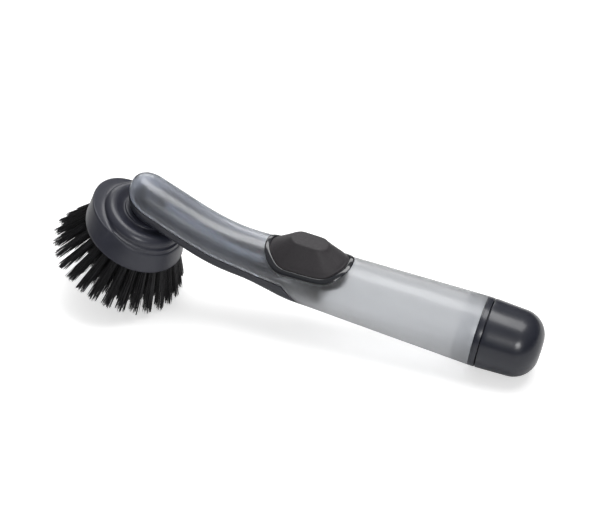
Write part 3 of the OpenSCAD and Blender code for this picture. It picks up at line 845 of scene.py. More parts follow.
def outline_stations(end: float, tube: bool) -> list[tuple[float, float]]:
    """Closely spaced stations from the grip's mouth, or from the tongue's end, to the tip.

    Args:
        end: where the neck's base ends.
        tube: whether the round grip is part of the skin.

    Returns:
        Pairs of a place along the wand and the angle that the tip has turned through.
    """
    made = []
    if tube:
        made += [(float(x), 0.0) for x in np.linspace(0, OUTLINE.tongue_x + TONGUE_CLEAR, GRIP_ROWS)]
    made += [(end - OUTLINE.tongue_run * (1 - v) ** 2, 0.0) for v in np.linspace(1, 0, TONGUE_ROWS)]
    start = OUTLINE.tongue_x - OUTLINE.tongue_run
    made += [(float(x), 0.0) for x in np.linspace(start, OUTLINE.nose_x, NECK_ROWS)[1:]]
    made += [(OUTLINE.nose_x, float(a)) for a in np.linspace(0, 90, NOSE_ROWS)[1:]]
    return made


def end_angle(x: float, nose: float, end: float) -> float:
    """Angle from the top at which the shell ends, at a station.

    Args:
        x: the station's place along the wand.
        nose: the angle that the tip has turned through there.
        end: where the neck's base ends.

    Returns:
        The angle in degrees.
    """
    return OUTLINE.edge_angle(x - OUTLINE.nose_len * math.sin(math.radians(nose)), end)


@dataclass
class Shell:
    """The clear shell: grip, neck and tip in one piece, with an opening for the button."""

    wall: float = SHELL_WALL
    step: float = 3.0
    cutter_z: tuple[float, float] = (2.0, 30.0)
    cutter_steps: int = 72
    edge_round: float = 0.00028
    place: Placement | None = None

    def build(self, finishes: Finishes) -> bpy.types.Object:
        """Makes the shell and gives it its finish.

        Args:
            finishes: the wand's finishes.

        Returns:
            The shell.
        """
        end = OUTLINE.tongue_x
        stations = outline_stations(end, tube=True)
        ends = [end_angle(x, nose, end) for x, nose in stations]
        closed = sum(1 for x, nose in stations if x >= end)
        skin = Skin(stations, [(-e, e) for e in ends], self.step, self.wall, closed)
        obj = skin.build().to_object("shell", self.place)
        outward(obj)
        cutter = self._cutter()
        cut = obj.modifiers.new("opening", "BOOLEAN")
        cut.object, cut.operation, cut.solver = cutter, "DIFFERENCE", "EXACT"
        apply_modifiers(obj)
        bpy.data.objects.remove(cutter)
        bevel(obj, self.edge_round)
        smooth(obj, 60)
        obj.data.materials.append(finishes.shell)
        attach(obj, Body.WAND.value)
        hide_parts("body_shell")
        return obj

    def _cutter(self) -> bpy.types.Object:
        """A prism that cuts the button's opening.

        Returns:
            The prism, whose outline is the opening.
        """
        data = MeshData()
        rim = [BUTTON.plan(BUTTON.opening, 360 / self.cutter_steps * i) for i in range(self.cutter_steps)]
        rows = [data.add_row([(-BUTTON.back + x, y, z) for x, y in rim]) for z in self.cutter_z]
        data.bridge(rows[0], rows[1])
        data.faces += [tuple(reversed(rows[0])), tuple(rows[1])]
        obj = data.to_object("cutter", self.place)
        outward(obj)
        return obj


@dataclass
class NeckBase:
    """The opaque tray under the neck, its boss and the spigot that the head pushes onto."""

    wall: float = 2.6
    gap: float = 0.35
    step: float = 3.0
    edge_round: float = 0.00025
    boss_r: float = 8.6
    boss_face: float = 17.7
    boss_shoulder: float = 20.2
    boss_top: float = 23.1
    pad_r: float = 6.5
    spigot_r: float = 7.0
    spigot_low: float = 6.9
    bore_r: float = 3.0
    seat_r: float = 5.7
    seat_top: float = 9.5
    groove_r: float = 5.2
    groove: tuple[float, float] = (10.9, 13.1)
    rib_gap: float = 0.22
    rib_wall: float = 1.3
    rib_h: float = 5.2
    rib_end_h: float = 1.8
    rib_foot: float = 2.2
    rib_start: float = 20.0
    rib_stop: float = 1.0
    rib_corner: tuple[float, float] = (0.25, 0.35)
    rib_rows: int = 56
    place: Placement | None = None
    head: Placement | None = None

    def build(self, finishes: Finishes) -> list[bpy.types.Object]:
        """Makes the tray, its ribs and the spigot and gives them their finish.

        Args:
            finishes: the wand's finishes.

        Returns:
            The tray, the spigot and the two ribs.
        """
        end = OUTLINE.tongue_x - self.gap
        stations = outline_stations(end, tube=False)
        ends = [end_angle(x, nose, end) for x, nose in stations]
        skin = Skin(stations, [(e, 360 - e) for e in ends], self.step, self.wall, 0, self.gap)
        tray = skin.build().to_object("tray", self.place)
        outward(tray)
        bevel(tray, self.edge_round)
        smooth(tray, 60)
        spigot = revolve("spigot", self._spigot_profile(), self.head, 96)
        smooth(spigot)
        ribs = [self._rib(side) for side in (1, -1)]
        for piece in (tray, spigot, *ribs):
            piece.data.materials.append(finishes.base)
            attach(piece, Body.WAND.value)
        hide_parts("neck_base")
        return [tray, spigot, *ribs]

    def _spigot_profile(self) -> list[tuple[float, float]]:
        """The boss and the spigot, with the valve's seat and the seal's groove.

        Returns:
            Pairs of radius and height, in the head's frame.
        """
        r, low, (g0, g1) = self.spigot_r, self.spigot_low, self.groove
        seat = [(self.bore_r, self.boss_top), (self.bore_r, self.seat_top), (self.seat_r, self.seat_top),
                (self.seat_r, low)]
        spigot = [(r - 0.2, low), (r, low + 0.2), (r, g0), (self.groove_r, g0), (self.groove_r, g1), (r, g1),
                  (r, self.boss_face)]
        boss = [(self.boss_r - 0.3, self.boss_face), (self.boss_r, self.boss_face + 0.3),
                (self.boss_r, self.boss_shoulder), (self.pad_r, self.boss_shoulder + 0.2),
                (self.pad_r, self.boss_top)]
        return seat + spigot + boss

    def _rib(self, side: int) -> bpy.types.Object:
        """The rib on one side of the tray that reaches up inside the shell and lines the seam.

        Args:
            side: 1 or -1.

        Returns:
            The rib, which follows the shell's inner wall.
        """
        data = MeshData()
        rows = []
        first, last = -OUTLINE.grip_len - self.rib_start, OUTLINE.nose_x - self.rib_stop
        round_w, round_h = self.rib_corner
        for t in np.linspace(0, 1, self.rib_rows):
            x = first + (last - first) * float(t)
            out = OUTLINE.half_w(x) - SHELL_WALL - self.rib_gap
            room, z = OUTLINE.arch_h(x) - SHELL_WALL - self.rib_gap, OUTLINE.seam_z(x)
            full = ease(min(float(t), 1 - float(t)) / 0.1)
            high = self.rib_end_h + (self.rib_h - self.rib_end_h) * full

            def lean(up: float) -> float:
                """How far the shell's wall has leaned in at a height above the seam."""
                return out * (1 - math.sqrt(max(0.0, 1 - (up / room) ** 2)))

            ups = [0, 0.25 * high, 0.5 * high, 0.75 * high, high - round_h]
            edge = out - lean(high)
            loop = [(out - self.rib_wall, -self.rib_foot), (out, -self.rib_foot)]
            loop += [(out - lean(u), u) for u in ups]
            loop += [(edge - round_w, high), (edge - self.rib_wall + round_w, high)]
            loop += [(out - lean(u) - self.rib_wall, u) for u in reversed(ups)]
            rows.append(data.add_row([(x, side * y, z + up) for y, up in loop]))
        for a, b in zip(rows, rows[1:]):
            data.bridge(a, b)
        data.faces += [tuple(rows[0]), tuple(reversed(rows[-1]))]
        obj = data.to_object("seam_rib_left" if side > 0 else "seam_rib_right", self.place)
        outward(obj)
        smooth(obj, 40)
        return obj


@dataclass(frozen=True)
class ButtonShape:
    """Sizes and outlines of the button and of the ring round it."""

    back: float = 91.8
    length: float = 40.1
    width: float = 24.0
    top_z: float = 22.2
    top_len: float = 20.0
    top_w: float = 11.1
    top_shift: float = -0.7
    top_soft: float = 15.0
    side_share: float = 0.62
    end_share: float = 0.46
    side_grow: float = 0.61
    soft: float = 11.5
    opening: float = 1.4

    def octagon(self, l: float, w: float, grow: float, angle: float,
                soft: float | None = None) -> tuple[float, float]:
        """A point of a long octagon with soft corners.

        Args:
            l: half length.
            w: half width.
            grow: how far the outline is offset.
            angle: direction in degrees.
            soft: how crisp the corners are.

        Returns:
            The point's place from the middle.
        """
        power = soft or self.soft
        b = math.atan2(l * (1 - self.side_share), w * (1 - self.end_share))
        d = l * self.side_share * math.cos(b) + w * math.sin(b) + grow
        side = w + (grow * self.side_grow if grow > 0 else grow)
        a = math.radians(angle)
        faces = [(0.0, l + grow), (math.pi, l + grow), (b, d), (-b, d), (math.pi - b, d), (math.pi + b, d),
                 (math.pi / 2, side), (-math.pi / 2, side)]
        k = sum(max(0.0, math.cos(a - f) / r) ** power for f, r in faces) ** (-1 / power)
        return k * math.cos(a), k * math.sin(a)

    def plan(self, grow: float, angle: float) -> tuple[float, float]:
        """A point of the button's outline, offset by `grow`."""
        return self.octagon(self.length / 2, self.width / 2, grow, angle)

    def foot(self, angle: float, inset: float, rise: float) -> Point:
        """A point of the button's foot, on the wand's surface."""
        x, y = self.plan(-inset, angle)
        return OUTLINE.top(-self.back + x, y, rise)

    def crown(self, angle: float, k: float, z: float) -> Point:
        """A point of the button's flat top, grown by k."""
        x, y = self.octagon(self.top_len / 2 * k, self.top_w / 2 * k, 0, angle, self.top_soft)
        return -self.back + self.top_shift + x, y, z


BUTTON = ButtonShape()


@dataclass
class ButtonRing:
    """The glossy bead round the button."""

    clear: float = 0.4
    width: float = 2.6
    rise: float = 0.6
    seat: float = 0.09
    profile: tuple[tuple[float, float], ...] = (
        (0, 0), (0.33, 0), (0.67, 0), (1, 0), (1, 0.3), (0.97, 0.55), (0.9, 0.78), (0.78, 0.93),
        (0.62, 1), (0.45, 1), (0.3, 0.92), (0.16, 0.72), (0.05, 0.45), (0, 0.2))
    steps: int = 192
    place: Placement | None = None

    def build(self, finishes: Finishes) -> bpy.types.Object:
        """Makes the ring and gives it its finish.

        Args:
            finishes: the wand's finishes.

        Returns:
            The ring.
        """
        data = MeshData()
        rows = []
        for q, h in self.profile:
            row = []
            for i in range(self.steps):
                a = 360 * i / self.steps
                p, o = BUTTON.plan(self.clear, a), BUTTON.plan(self.clear + self.width, a)
                x, y = p[0] + (o[0] - p[0]) * q, p[1] + (o[1] - p[1]) * q
                row.append(OUTLINE.top(-BUTTON.back + x, y, self.seat + h * (self.rise - self.seat)))
            rows.append(data.add_row(row))
        for a, b in zip(rows, rows[1:] + rows[:1]):
            data.bridge(a, b)
        obj = data.to_object("button_trim", self.place)
        outward(obj)
        smooth(obj, 50)
        obj.data.materials.append(finishes.trim)
        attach(obj, Body.WAND.value)
        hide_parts("button_ring")
        return obj


@dataclass
class ButtonSkin:
    """The soft skin of the button: a long octagonal dome with a flat top.

    Each of its rows is a loop round the button. The crown's rows say how far the flat top's outline is
    grown and how far it drops, the flank's how far down the flank they lie, and the foot's how far
    they are drawn in and how high they stand on the wand.
    """

    wall: float = 1.6
    flange: float = 1.0
    clear: float = 0.08
    steps: int = 180
    crown_rows: tuple[tuple[float, float], ...] = (
        (0.3, 0), (0.6, 0), (0.84, 0), (0.91, 0.03), (0.96, 0.12), (1.0, 0.3), (1.035, 0.58), (1.06, 0.9))
    flank_rows: tuple[float, ...] = (0.15, 0.3, 0.45, 0.6, 0.75, 0.88, 0.97)
    flank_foot: tuple[float, float] = (1.5, 1.35)
    foot_rows: tuple[tuple[float, float], ...] = (
        (1.2, 1.02), (0.85, 0.78), (0.5, 0.64), (0.25, 0.56), (0.08, 0.42), (0.0, 0.2), (0.0, -0.15))
    held_z: float = 15.0
    place: Placement | None = None

    def build(self, finishes: Finishes) -> bpy.types.Object:
        """Makes the skin and gives it its finish.

        Args:
            finishes: the wand's finishes.

        Returns:
            The skin.
        """
        data = MeshData()
        z = BUTTON.top_z
        angles = [360 * i / self.steps for i in range(self.steps)]

        def blend(a: Point, b: Point, t: float) -> Point:
            """A point between two others."""
            return tuple(p + (q - p) * t for p, q in zip(a, b))

        loops: list[list[Point]] = []
        for k, drop in self.crown_rows:
            loops.append([BUTTON.crown(a, k, z - drop) for a in angles])
        shoulder = loops[-1]
        flank_foot = [BUTTON.foot(a, *self.flank_foot) for a in angles]
        loops += [[blend(c, f, t) for c, f in zip(shoulder, flank_foot)] for t in self.flank_rows]
        loops += [[BUTTON.foot(a, inset, rise) for a in angles] for inset, rise in self.foot_rows]
        rim = [BUTTON.plan(BUTTON.opening - self.clear, a) for a in angles]
        loops.append([OUTLINE.top(-BUTTON.back + x, y, -0.25) for x, y in rim])
        loops.append([OUTLINE.top(-BUTTON.back + x, y, -self.flange) for x, y in rim])
        inner_foot = [BUTTON.foot(a, self.wall, -self.flange) for a in angles]
        inner_top = [BUTTON.crown(a, 0.84, z - self.wall) for a in angles]
        loops += [inner_foot, [blend(f, c, 0.5) for f, c in zip(inner_foot, inner_top)], inner_top]
        rows = [data.add_row(loop) for loop in loops]
        for a, b in zip(rows, rows[1:]):
            data.bridge(a, b)
        for row, height in ((rows[0], z), (rows[-1], z - self.wall)):
            data.bridge(row, data.add_row([(-BUTTON.back + BUTTON.top_shift, 0.0, height)]))
        obj = data.to_object("button_skin_soft", self.place)
        outward(obj)
        smooth(obj, 50)
        obj.data.materials.append(finishes.button)
        start = self.place.point(-BUTTON.back, 0, self.held_z)
        end = self.place.point(-BUTTON.back, 0, z - 0.5)
        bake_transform(obj)
        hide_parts("button_skin")
        return obj


class GeometryTree:
    """A Geometry Nodes tree that is built in code, with named inputs."""

    def __init__(self, name: str) -> None:
        """Starts an empty tree with a geometry output.

        Args:
            name: name of the tree.
        """
        self.tree = bpy.data.node_groups.new(name, "GeometryNodeTree")
        self.tree.interface.new_socket("Geometry", in_out="OUTPUT", socket_type="NodeSocketGeometry")
        self.inputs = self.tree.nodes.new("NodeGroupInput")
        self.output = self.tree.nodes.new("NodeGroupOutput")
        self.values: dict[str, float] = {}

    def number(self, name: str, value: float, whole: bool = False) -> bpy.types.NodeSocket:
        """Adds a named input and returns its socket.

        Args:
            name: name of the input.
            value: its value.
            whole: whether it is a whole number.

        Returns:
            Its socket.
        """
        kind = "NodeSocketInt" if whole else "NodeSocketFloat"
        item = self.tree.interface.new_socket(name, in_out="INPUT", socket_type=kind)
        self.values[item.identifier] = int(value) if whole else float(value)
        return self.inputs.outputs[name]

    def add(self, kind: str, links: dict[str | int, object] | None = None,
            **settings: object) -> bpy.types.Node:
        """Adds a node, sets its properties, and links or fills its inputs.

        Args:
            kind: the node's type.
            links: a socket or a value for each of its inputs.
            settings: its properties.

        Returns:
            The node.
        """
        made = self.tree.nodes.new(kind)
        for key, value in settings.items():
            setattr(made, key, value)
        for key, value in (links or {}).items():
            if isinstance(value, bpy.types.NodeSocket):
                self.tree.links.new(value, made.inputs[key])
            else:
                made.inputs[key].default_value = value
        return made

    def math(self, operation: str, a: object, b: object = 0.0) -> bpy.types.NodeSocket:
        """The result of an operation on two numbers."""
        return self.add("ShaderNodeMath", {0: a, 1: b}, operation=operation).outputs[0]

    def vector(self, x: object, y: object, z: object) -> bpy.types.NodeSocket:
        """A vector made of three numbers."""
        return self.add("ShaderNodeCombineXYZ", {0: x, 1: y, 2: z}).outputs[0]

    def move(self, operation: str, a: object, b: object) -> bpy.types.NodeSocket:
        """The result of an operation on two vectors."""
        return self.add("ShaderNodeVectorMath", {0: a, 1: b}, operation=operation).outputs[0]

    def scaled(self, v: object, k: object) -> bpy.types.NodeSocket:
        """A vector times a number."""
        return self.add("ShaderNodeVectorMath", {0: v, "Scale": k}, operation="SCALE").outputs[0]

    def random(self, low: float, high: float, seed: int) -> bpy.types.NodeSocket:
        """A random number for each element, from a fixed seed."""
        made = self.add("FunctionNodeRandomValue", {2: low, 3: high, "Seed": seed}, data_type="FLOAT")
        return made.outputs[1]

    def finish(self, geometry: bpy.types.NodeSocket, material: bpy.types.Material) -> None:
        """Ends the tree in Realize Instances and Set Material.

        Args:
            geometry: what the tree has made.
            material: its finish.
        """
        real = self.add("GeometryNodeRealizeInstances", {"Geometry": geometry})
        dressed = self.add("GeometryNodeSetMaterial", {"Geometry": real.outputs[0], "Material": material})
        self.tree.links.new(dressed.outputs[0], self.output.inputs[0])

    def bake(self, name: str, place: Placement) -> bpy.types.Object:
        """Runs the tree and returns a plain mesh object in the row frame.

        Args:
            name: name of the object.
            place: frame that the tree works in.

        Returns:
            The object.
        """
        carrier = link_object(name, bpy.data.meshes.new(name + "_carrier"))
        modifier = carrier.modifiers.new("form", "NODES")
        modifier.node_group = self.tree
        for key, value in self.values.items():
            modifier[key] = value
        graph = bpy.context.evaluated_depsgraph_get()
        mesh = bpy.data.meshes.new_from_object(carrier.evaluated_get(graph), depsgraph=graph)
        carrier.modifiers.clear()
        carrier.data = mesh
        mesh.name = name
        place.mesh_to_row(mesh)
        return carrier


@dataclass(frozen=True)
class TuftRing:
    """One ring of tufts in the brush."""

    node: str
    tufts: int
    root_r: float
    tip_r: float
    filaments: int
    seed: int


@dataclass
class Bristles:
    """The brush's nylon filaments, in rings of tufts that flare towards their tips."""

    rings: tuple[TuftRing, ...] = (
        TuftRing("bristles_outer", 28, 22.0, 34.5, 64, 3),
        TuftRing("bristles_second", 21, 17.2, 26.45, 60, 5),
        TuftRing("bristles_third", 14, 12.4, 18.1, 56, 7),
        TuftRing("bristles_inner", 8, 7.6, 10.44, 56, 11),
    )
    length: float = 23.0
    root_z: float = 2.4
    root_spread: float = 1.5
    tip_spread: float = 2.7
    root_wander: float = 0.05
    tip_wander: float = 0.35
    trim: float = 0.9
    sway: float = 0.7
    bow: float = 1.6
    thickness: float = 0.2
    taper: float = 0.45
    taper_power: float = 6.0
    joints: int = 6
    sides: int = 4
    head: Placement | None = None

    def build(self, finishes: Finishes) -> list[bpy.types.Object]:
        """Makes one mesh of filaments for each ring.

        Args:
            finishes: the wand's finishes.

        Returns:
            The rings, from the outer to the inner.
        """
        made = []
        for ring in self.rings:
            obj = self._tree(ring, finishes.nylon).bake(ring.node + "_tufts", self.head)
            obj.data.shade_smooth()
            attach(obj, Body.HEAD.value)
            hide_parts(ring.node)
            log.info("%s: %d tufts, %d faces", obj.name, ring.tufts, len(obj.data.polygons))
            made.append(obj)
        return made

    def _tree(self, ring: TuftRing, material: bpy.types.Material) -> GeometryTree:
        """The tree that grows a ring's filaments.

        Args:
            ring: the ring.
            material: the filaments' finish.

        Returns:
            The tree.
        """
        t = GeometryTree(ring.node + "_tree")
        tufts = t.number("Tufts", ring.tufts, whole=True)
        each = t.number("Filaments", ring.filaments, whole=True)
        root_r = t.number("Root Radius", ring.root_r)
        tip_r = t.number("Tip Radius", ring.tip_r)
        length = t.number("Length", self.length)
        root_z = t.number("Root Height", self.root_z)
        thick = t.number("Thickness", self.thickness)
        count = t.math("MULTIPLY", tufts, each)
        points = t.add("GeometryNodePoints", {"Count": count})
        index = t.add("GeometryNodeInputIndex").outputs[0]
        tuft = t.math("FLOOR", t.math("DIVIDE", index, each))
        turn = t.math("MULTIPLY", t.math("DIVIDE", tuft, tufts), 2 * math.pi)
        lane = t.random(0, 2 * math.pi, ring.seed)
        reach = t.math("SQRT", t.random(0, 1, ring.seed + 1))

        def ring_point(radius: object, spread: float, height: object, wander: float,
                       seed: int) -> bpy.types.NodeSocket:
            """A filament's point: its tuft's place on the ring, and its own place in the tuft.

            Args:
                radius: radius of the ring.
                spread: radius of the tuft.
                height: height of the point.
                wander: how far the point strays.
                seed: seed of its straying.

            Returns:
                The point in the head's frame.
            """
            own = t.math("MULTIPLY", reach, spread)
            x = t.math("ADD", radius, t.math("MULTIPLY", own, t.math("COSINE", lane)))
            y = t.math("MULTIPLY", own, t.math("SINE", lane))
            x = t.math("ADD", x, t.random(-wander, wander, seed))
            y = t.math("ADD", y, t.random(-wander, wander, seed + 1))
            flat = t.vector(x, y, height)
            turned = {"Vector": flat, "Angle": turn}
            return t.add("ShaderNodeVectorRotate", turned, rotation_type="Z_AXIS").outputs[0]

        tip_z = t.math("ADD", t.math("MULTIPLY", length, -1.0), t.random(0.0, self.trim, ring.seed + 2))
        root = ring_point(root_r, self.root_spread, root_z, self.root_wander, ring.seed + 3)
        tip = ring_point(tip_r, self.tip_spread, tip_z, self.tip_wander, ring.seed + 5)
        sways = [t.random(-self.sway, self.sway, ring.seed + k) for k in (7, 8)]
        bend = t.vector(*sways, 0.0)
        geometry = points.outputs[0]
        for key, value in (("root", root), ("tip", tip), ("bend", bend)):
            store = {"Geometry": geometry, "Name": key, "Value": value}
            node = t.add("GeometryNodeStoreNamedAttribute", store, data_type="FLOAT_VECTOR", domain="POINT")
            geometry = node.outputs[0]
        strand = t.add("GeometryNodeCurvePrimitiveLine")
        line = t.add("GeometryNodeResampleCurve", {"Curve": strand.outputs[0], "Count": self.joints})
        placed = t.add("GeometryNodeInstanceOnPoints", {"Points": geometry, "Instance": line.outputs[0]})
        real = t.add("GeometryNodeRealizeInstances", {"Geometry": placed.outputs[0]})
        factor = t.add("GeometryNodeSplineParameter").outputs["Factor"]

        def named(key: str) -> bpy.types.NodeSocket:
            """A stored vector of the filament."""
            made = t.add("GeometryNodeInputNamedAttribute", {"Name": key}, data_type="FLOAT_VECTOR")
            return made.outputs[0]

        span = t.move("SUBTRACT", named("tip"), named("root"))
        straight = t.move("ADD", named("root"), t.scaled(span, factor))
        arch = t.math("SUBTRACT", factor, t.math("MULTIPLY", factor, factor))
        sag = t.math("MULTIPLY", arch, self.bow)
        curved = t.move("ADD", straight, t.scaled(named("bend"), sag))
        shaped = t.add("GeometryNodeSetPosition", {"Geometry": real.outputs[0], "Position": curved})
        thinner = t.math("MULTIPLY", t.math("POWER", factor, self.taper_power), self.taper)
        profile = t.add("GeometryNodeCurvePrimitiveCircle", {"Resolution": self.sides, "Radius": 1.0})
        tube = t.add("GeometryNodeCurveToMesh", {
            "Curve": shaped.outputs[0], "Profile Curve": profile.outputs[0], "Fill Caps": True,
            "Scale": t.math("MULTIPLY", t.math("SUBTRACT", 1.0, thinner), thick)})
        t.finish(tube.outputs[0], material)
        return t


@dataclass
class Thread:
    """A screw thread that winds round an axis."""

    name: str
    radius: float
    height: float
    pitch: float
    turns: float
    start: float
    body: Body
    slot: str
    foot_w: float = 1.3
    crest_w: float = 0.7
    steps: int = 48
    place: Placement | None = None

    def build(self, material: bpy.types.Material) -> bpy.types.Object:
        """Makes the thread's ridge.

        Args:
            material: its finish.

        Returns:
            The ridge.
        """
        t = GeometryTree(self.name + "_tree")
        turns = t.number("Turns", self.turns)
        radius = t.number("Radius", self.radius)
        pitch = t.number("Pitch", self.pitch)
        ridge = t.number("Ridge Height", self.height)
        rise = t.math("MULTIPLY", turns, pitch)
        spiral = t.add("GeometryNodeCurveSpiral", {
            "Resolution": self.steps, "Rotations": turns, "Start Radius": radius, "End Radius": radius,
            "Height": rise})
        profile = t.add("GeometryNodeCurvePrimitiveQuadrilateral", {
            "Height": ridge, "Bottom Width": self.foot_w, "Top Width": self.crest_w, "Offset": 0.0},
            mode="TRAPEZOID")
        flat = t.add("GeometryNodeSetCurveNormal", {"Curve": spiral.outputs[0]}, mode="Z_UP")
        tube = t.add("GeometryNodeCurveToMesh", {
            "Curve": flat.outputs[0], "Profile Curve": profile.outputs[0], "Fill Caps": True})
        t.finish(tube.outputs[0], material)
        obj = t.bake(self.name, self.place.within(Matrix.Translation((0, 0, self.start))))
        outward(obj)
        smooth(obj, 40)
        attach(obj, self.body.value)
        return obj


@dataclass
class Cap:
    """The screw cap, and the collar in the grip's mouth that it screws onto."""

    band_w: float = 3.45
    loose: float = 0.3
    length: float = 29.0
    round_r: float = 13.0
    wall: float = 2.1
    collar_r: float = 15.8
    thread_len: float = 10.5
    neck_step: float = 0.9
    filler_r: float = 12.6
    washer_h: float = 1.2
    plug_len: float = 9.0
    thread_pitch: float = 3.0
    thread_turns: float = 2.2
    thread_h: float = 0.6
    steps: int = 160
    place: Placement | None = None

    @property
    def foot(self) -> float:
        """Where the cap starts."""
        return self.band_w + self.loose

    @property
    def seat(self) -> float:
        """Where the washer sits."""
        return self.band_w - 0.5 + self.thread_len

    @property
    def neck_r(self) -> float:
        """Radius of the collar's neck under its thread."""
        return self.collar_r - self.neck_step

    def build(self, finishes: Finishes) -> list[bpy.types.Object]:
        """Makes the cap, the collar and the collar's thread."""
        return [self._cap(finishes), self._collar(finishes), self._plug(finishes), self._thread(finishes)]

    def _cap(self, finishes: Finishes) -> bpy.types.Object:
        """The cap itself, a turned cup.

        Args:
            finishes: the wand's finishes.

        Returns:
            The cap.
        """
        end = self.foot + self.length
        r, foot = OUTLINE.grip_r, self.foot
        side = r - 0.7
        cx, cz = side - self.round_r, end - self.round_r
        bore, deep = self.collar_r + 0.1, self.seat + self.washer_h + 0.1
        r_in = self.round_r - self.wall
        outer = [(bore, foot), (r - 0.45, foot), (r - 0.2, foot + 0.08), (r - 0.05, foot + 0.28),
                 (r, foot + 0.6), (r - 0.1, foot + 3)]
        outer += arc(cx, cz, self.round_r, 0, 88, 22) + [(cx * 0.6, end + 0.1), (0.0, end + 0.22)]
        inner = [(0.0, end - self.wall)] + arc(cx, cz, r_in, 90, 20, 12)
        inner += [(bore - 1.2, deep + 0.4), (bore - 1.2, deep), (bore, deep)]
        obj = revolve("cap_shell", outer + inner, self.place, self.steps)
        smooth(obj, 40)
        obj.data.materials.append(finishes.cap)
        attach(obj, Body.CAP.value)
        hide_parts("end_cap")
        return obj

    def _collar(self, finishes: Finishes) -> bpy.types.Object:
        """The dark part of the collar: its band and its neck.

        Args:
            finishes: the wand's finishes.

        Returns:
            The band and the neck.
        """
        w, r, hole = self.band_w, OUTLINE.grip_r, self.filler_r
        band = [(hole, 0.05), (r - 0.2, 0.05), (r - 0.05, 0.12), (r, 0.3), (r, 0.75), (r - 0.15, 0.85),
                (r - 0.15, 0.98), (r, 1.08), (r, w - 0.35), (r - 0.05, w - 0.16), (r - 0.2, w - 0.06)]
        neck = [(self.neck_r, w - 0.06), (self.neck_r, self.seat - 0.4), (self.neck_r - 0.4, self.seat),
                (hole + 0.3, self.seat), (hole, self.seat - 0.3)]
        obj = revolve("collar", band + neck, self.place, self.steps)
        smooth(obj, 40)
        obj.data.materials.append(finishes.cap)
        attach(obj, Body.WAND.value)
        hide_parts("mouth_collar")
        return obj

    def _plug(self, finishes: Finishes) -> bpy.types.Object:
        """The clear part of the collar, which plugs the grip.

        Args:
            finishes: the wand's finishes.

        Returns:
            The plug.
        """
        r, hole, end = self.collar_r, self.filler_r, -self.plug_len
        obj = revolve("collar_plug", [
            (hole, end + 0.3), (hole + 0.3, end), (r - 0.4, end), (r, end + 0.4), (r, 0.03), (hole, 0.03)],
            self.place, self.steps)
        smooth(obj, 40)
        obj.data.materials.append(finishes.plug)
        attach(obj, Body.WAND.value)
        return obj

    def _thread(self, finishes: Finishes) -> bpy.types.Object:
        """The thread on the collar's neck, which starts just past the band.

        Args:
            finishes: the wand's finishes.

        Returns:
            The thread.
        """
        thread = Thread(
            "collar_thread", radius=self.neck_r + 0.25, height=self.thread_h, pitch=self.thread_pitch,
            turns=self.thread_turns, start=self.band_w + 1.6, body=Body.WAND, slot="cap_plastic",
            place=self.place)
        return thread.build(finishes.cap)


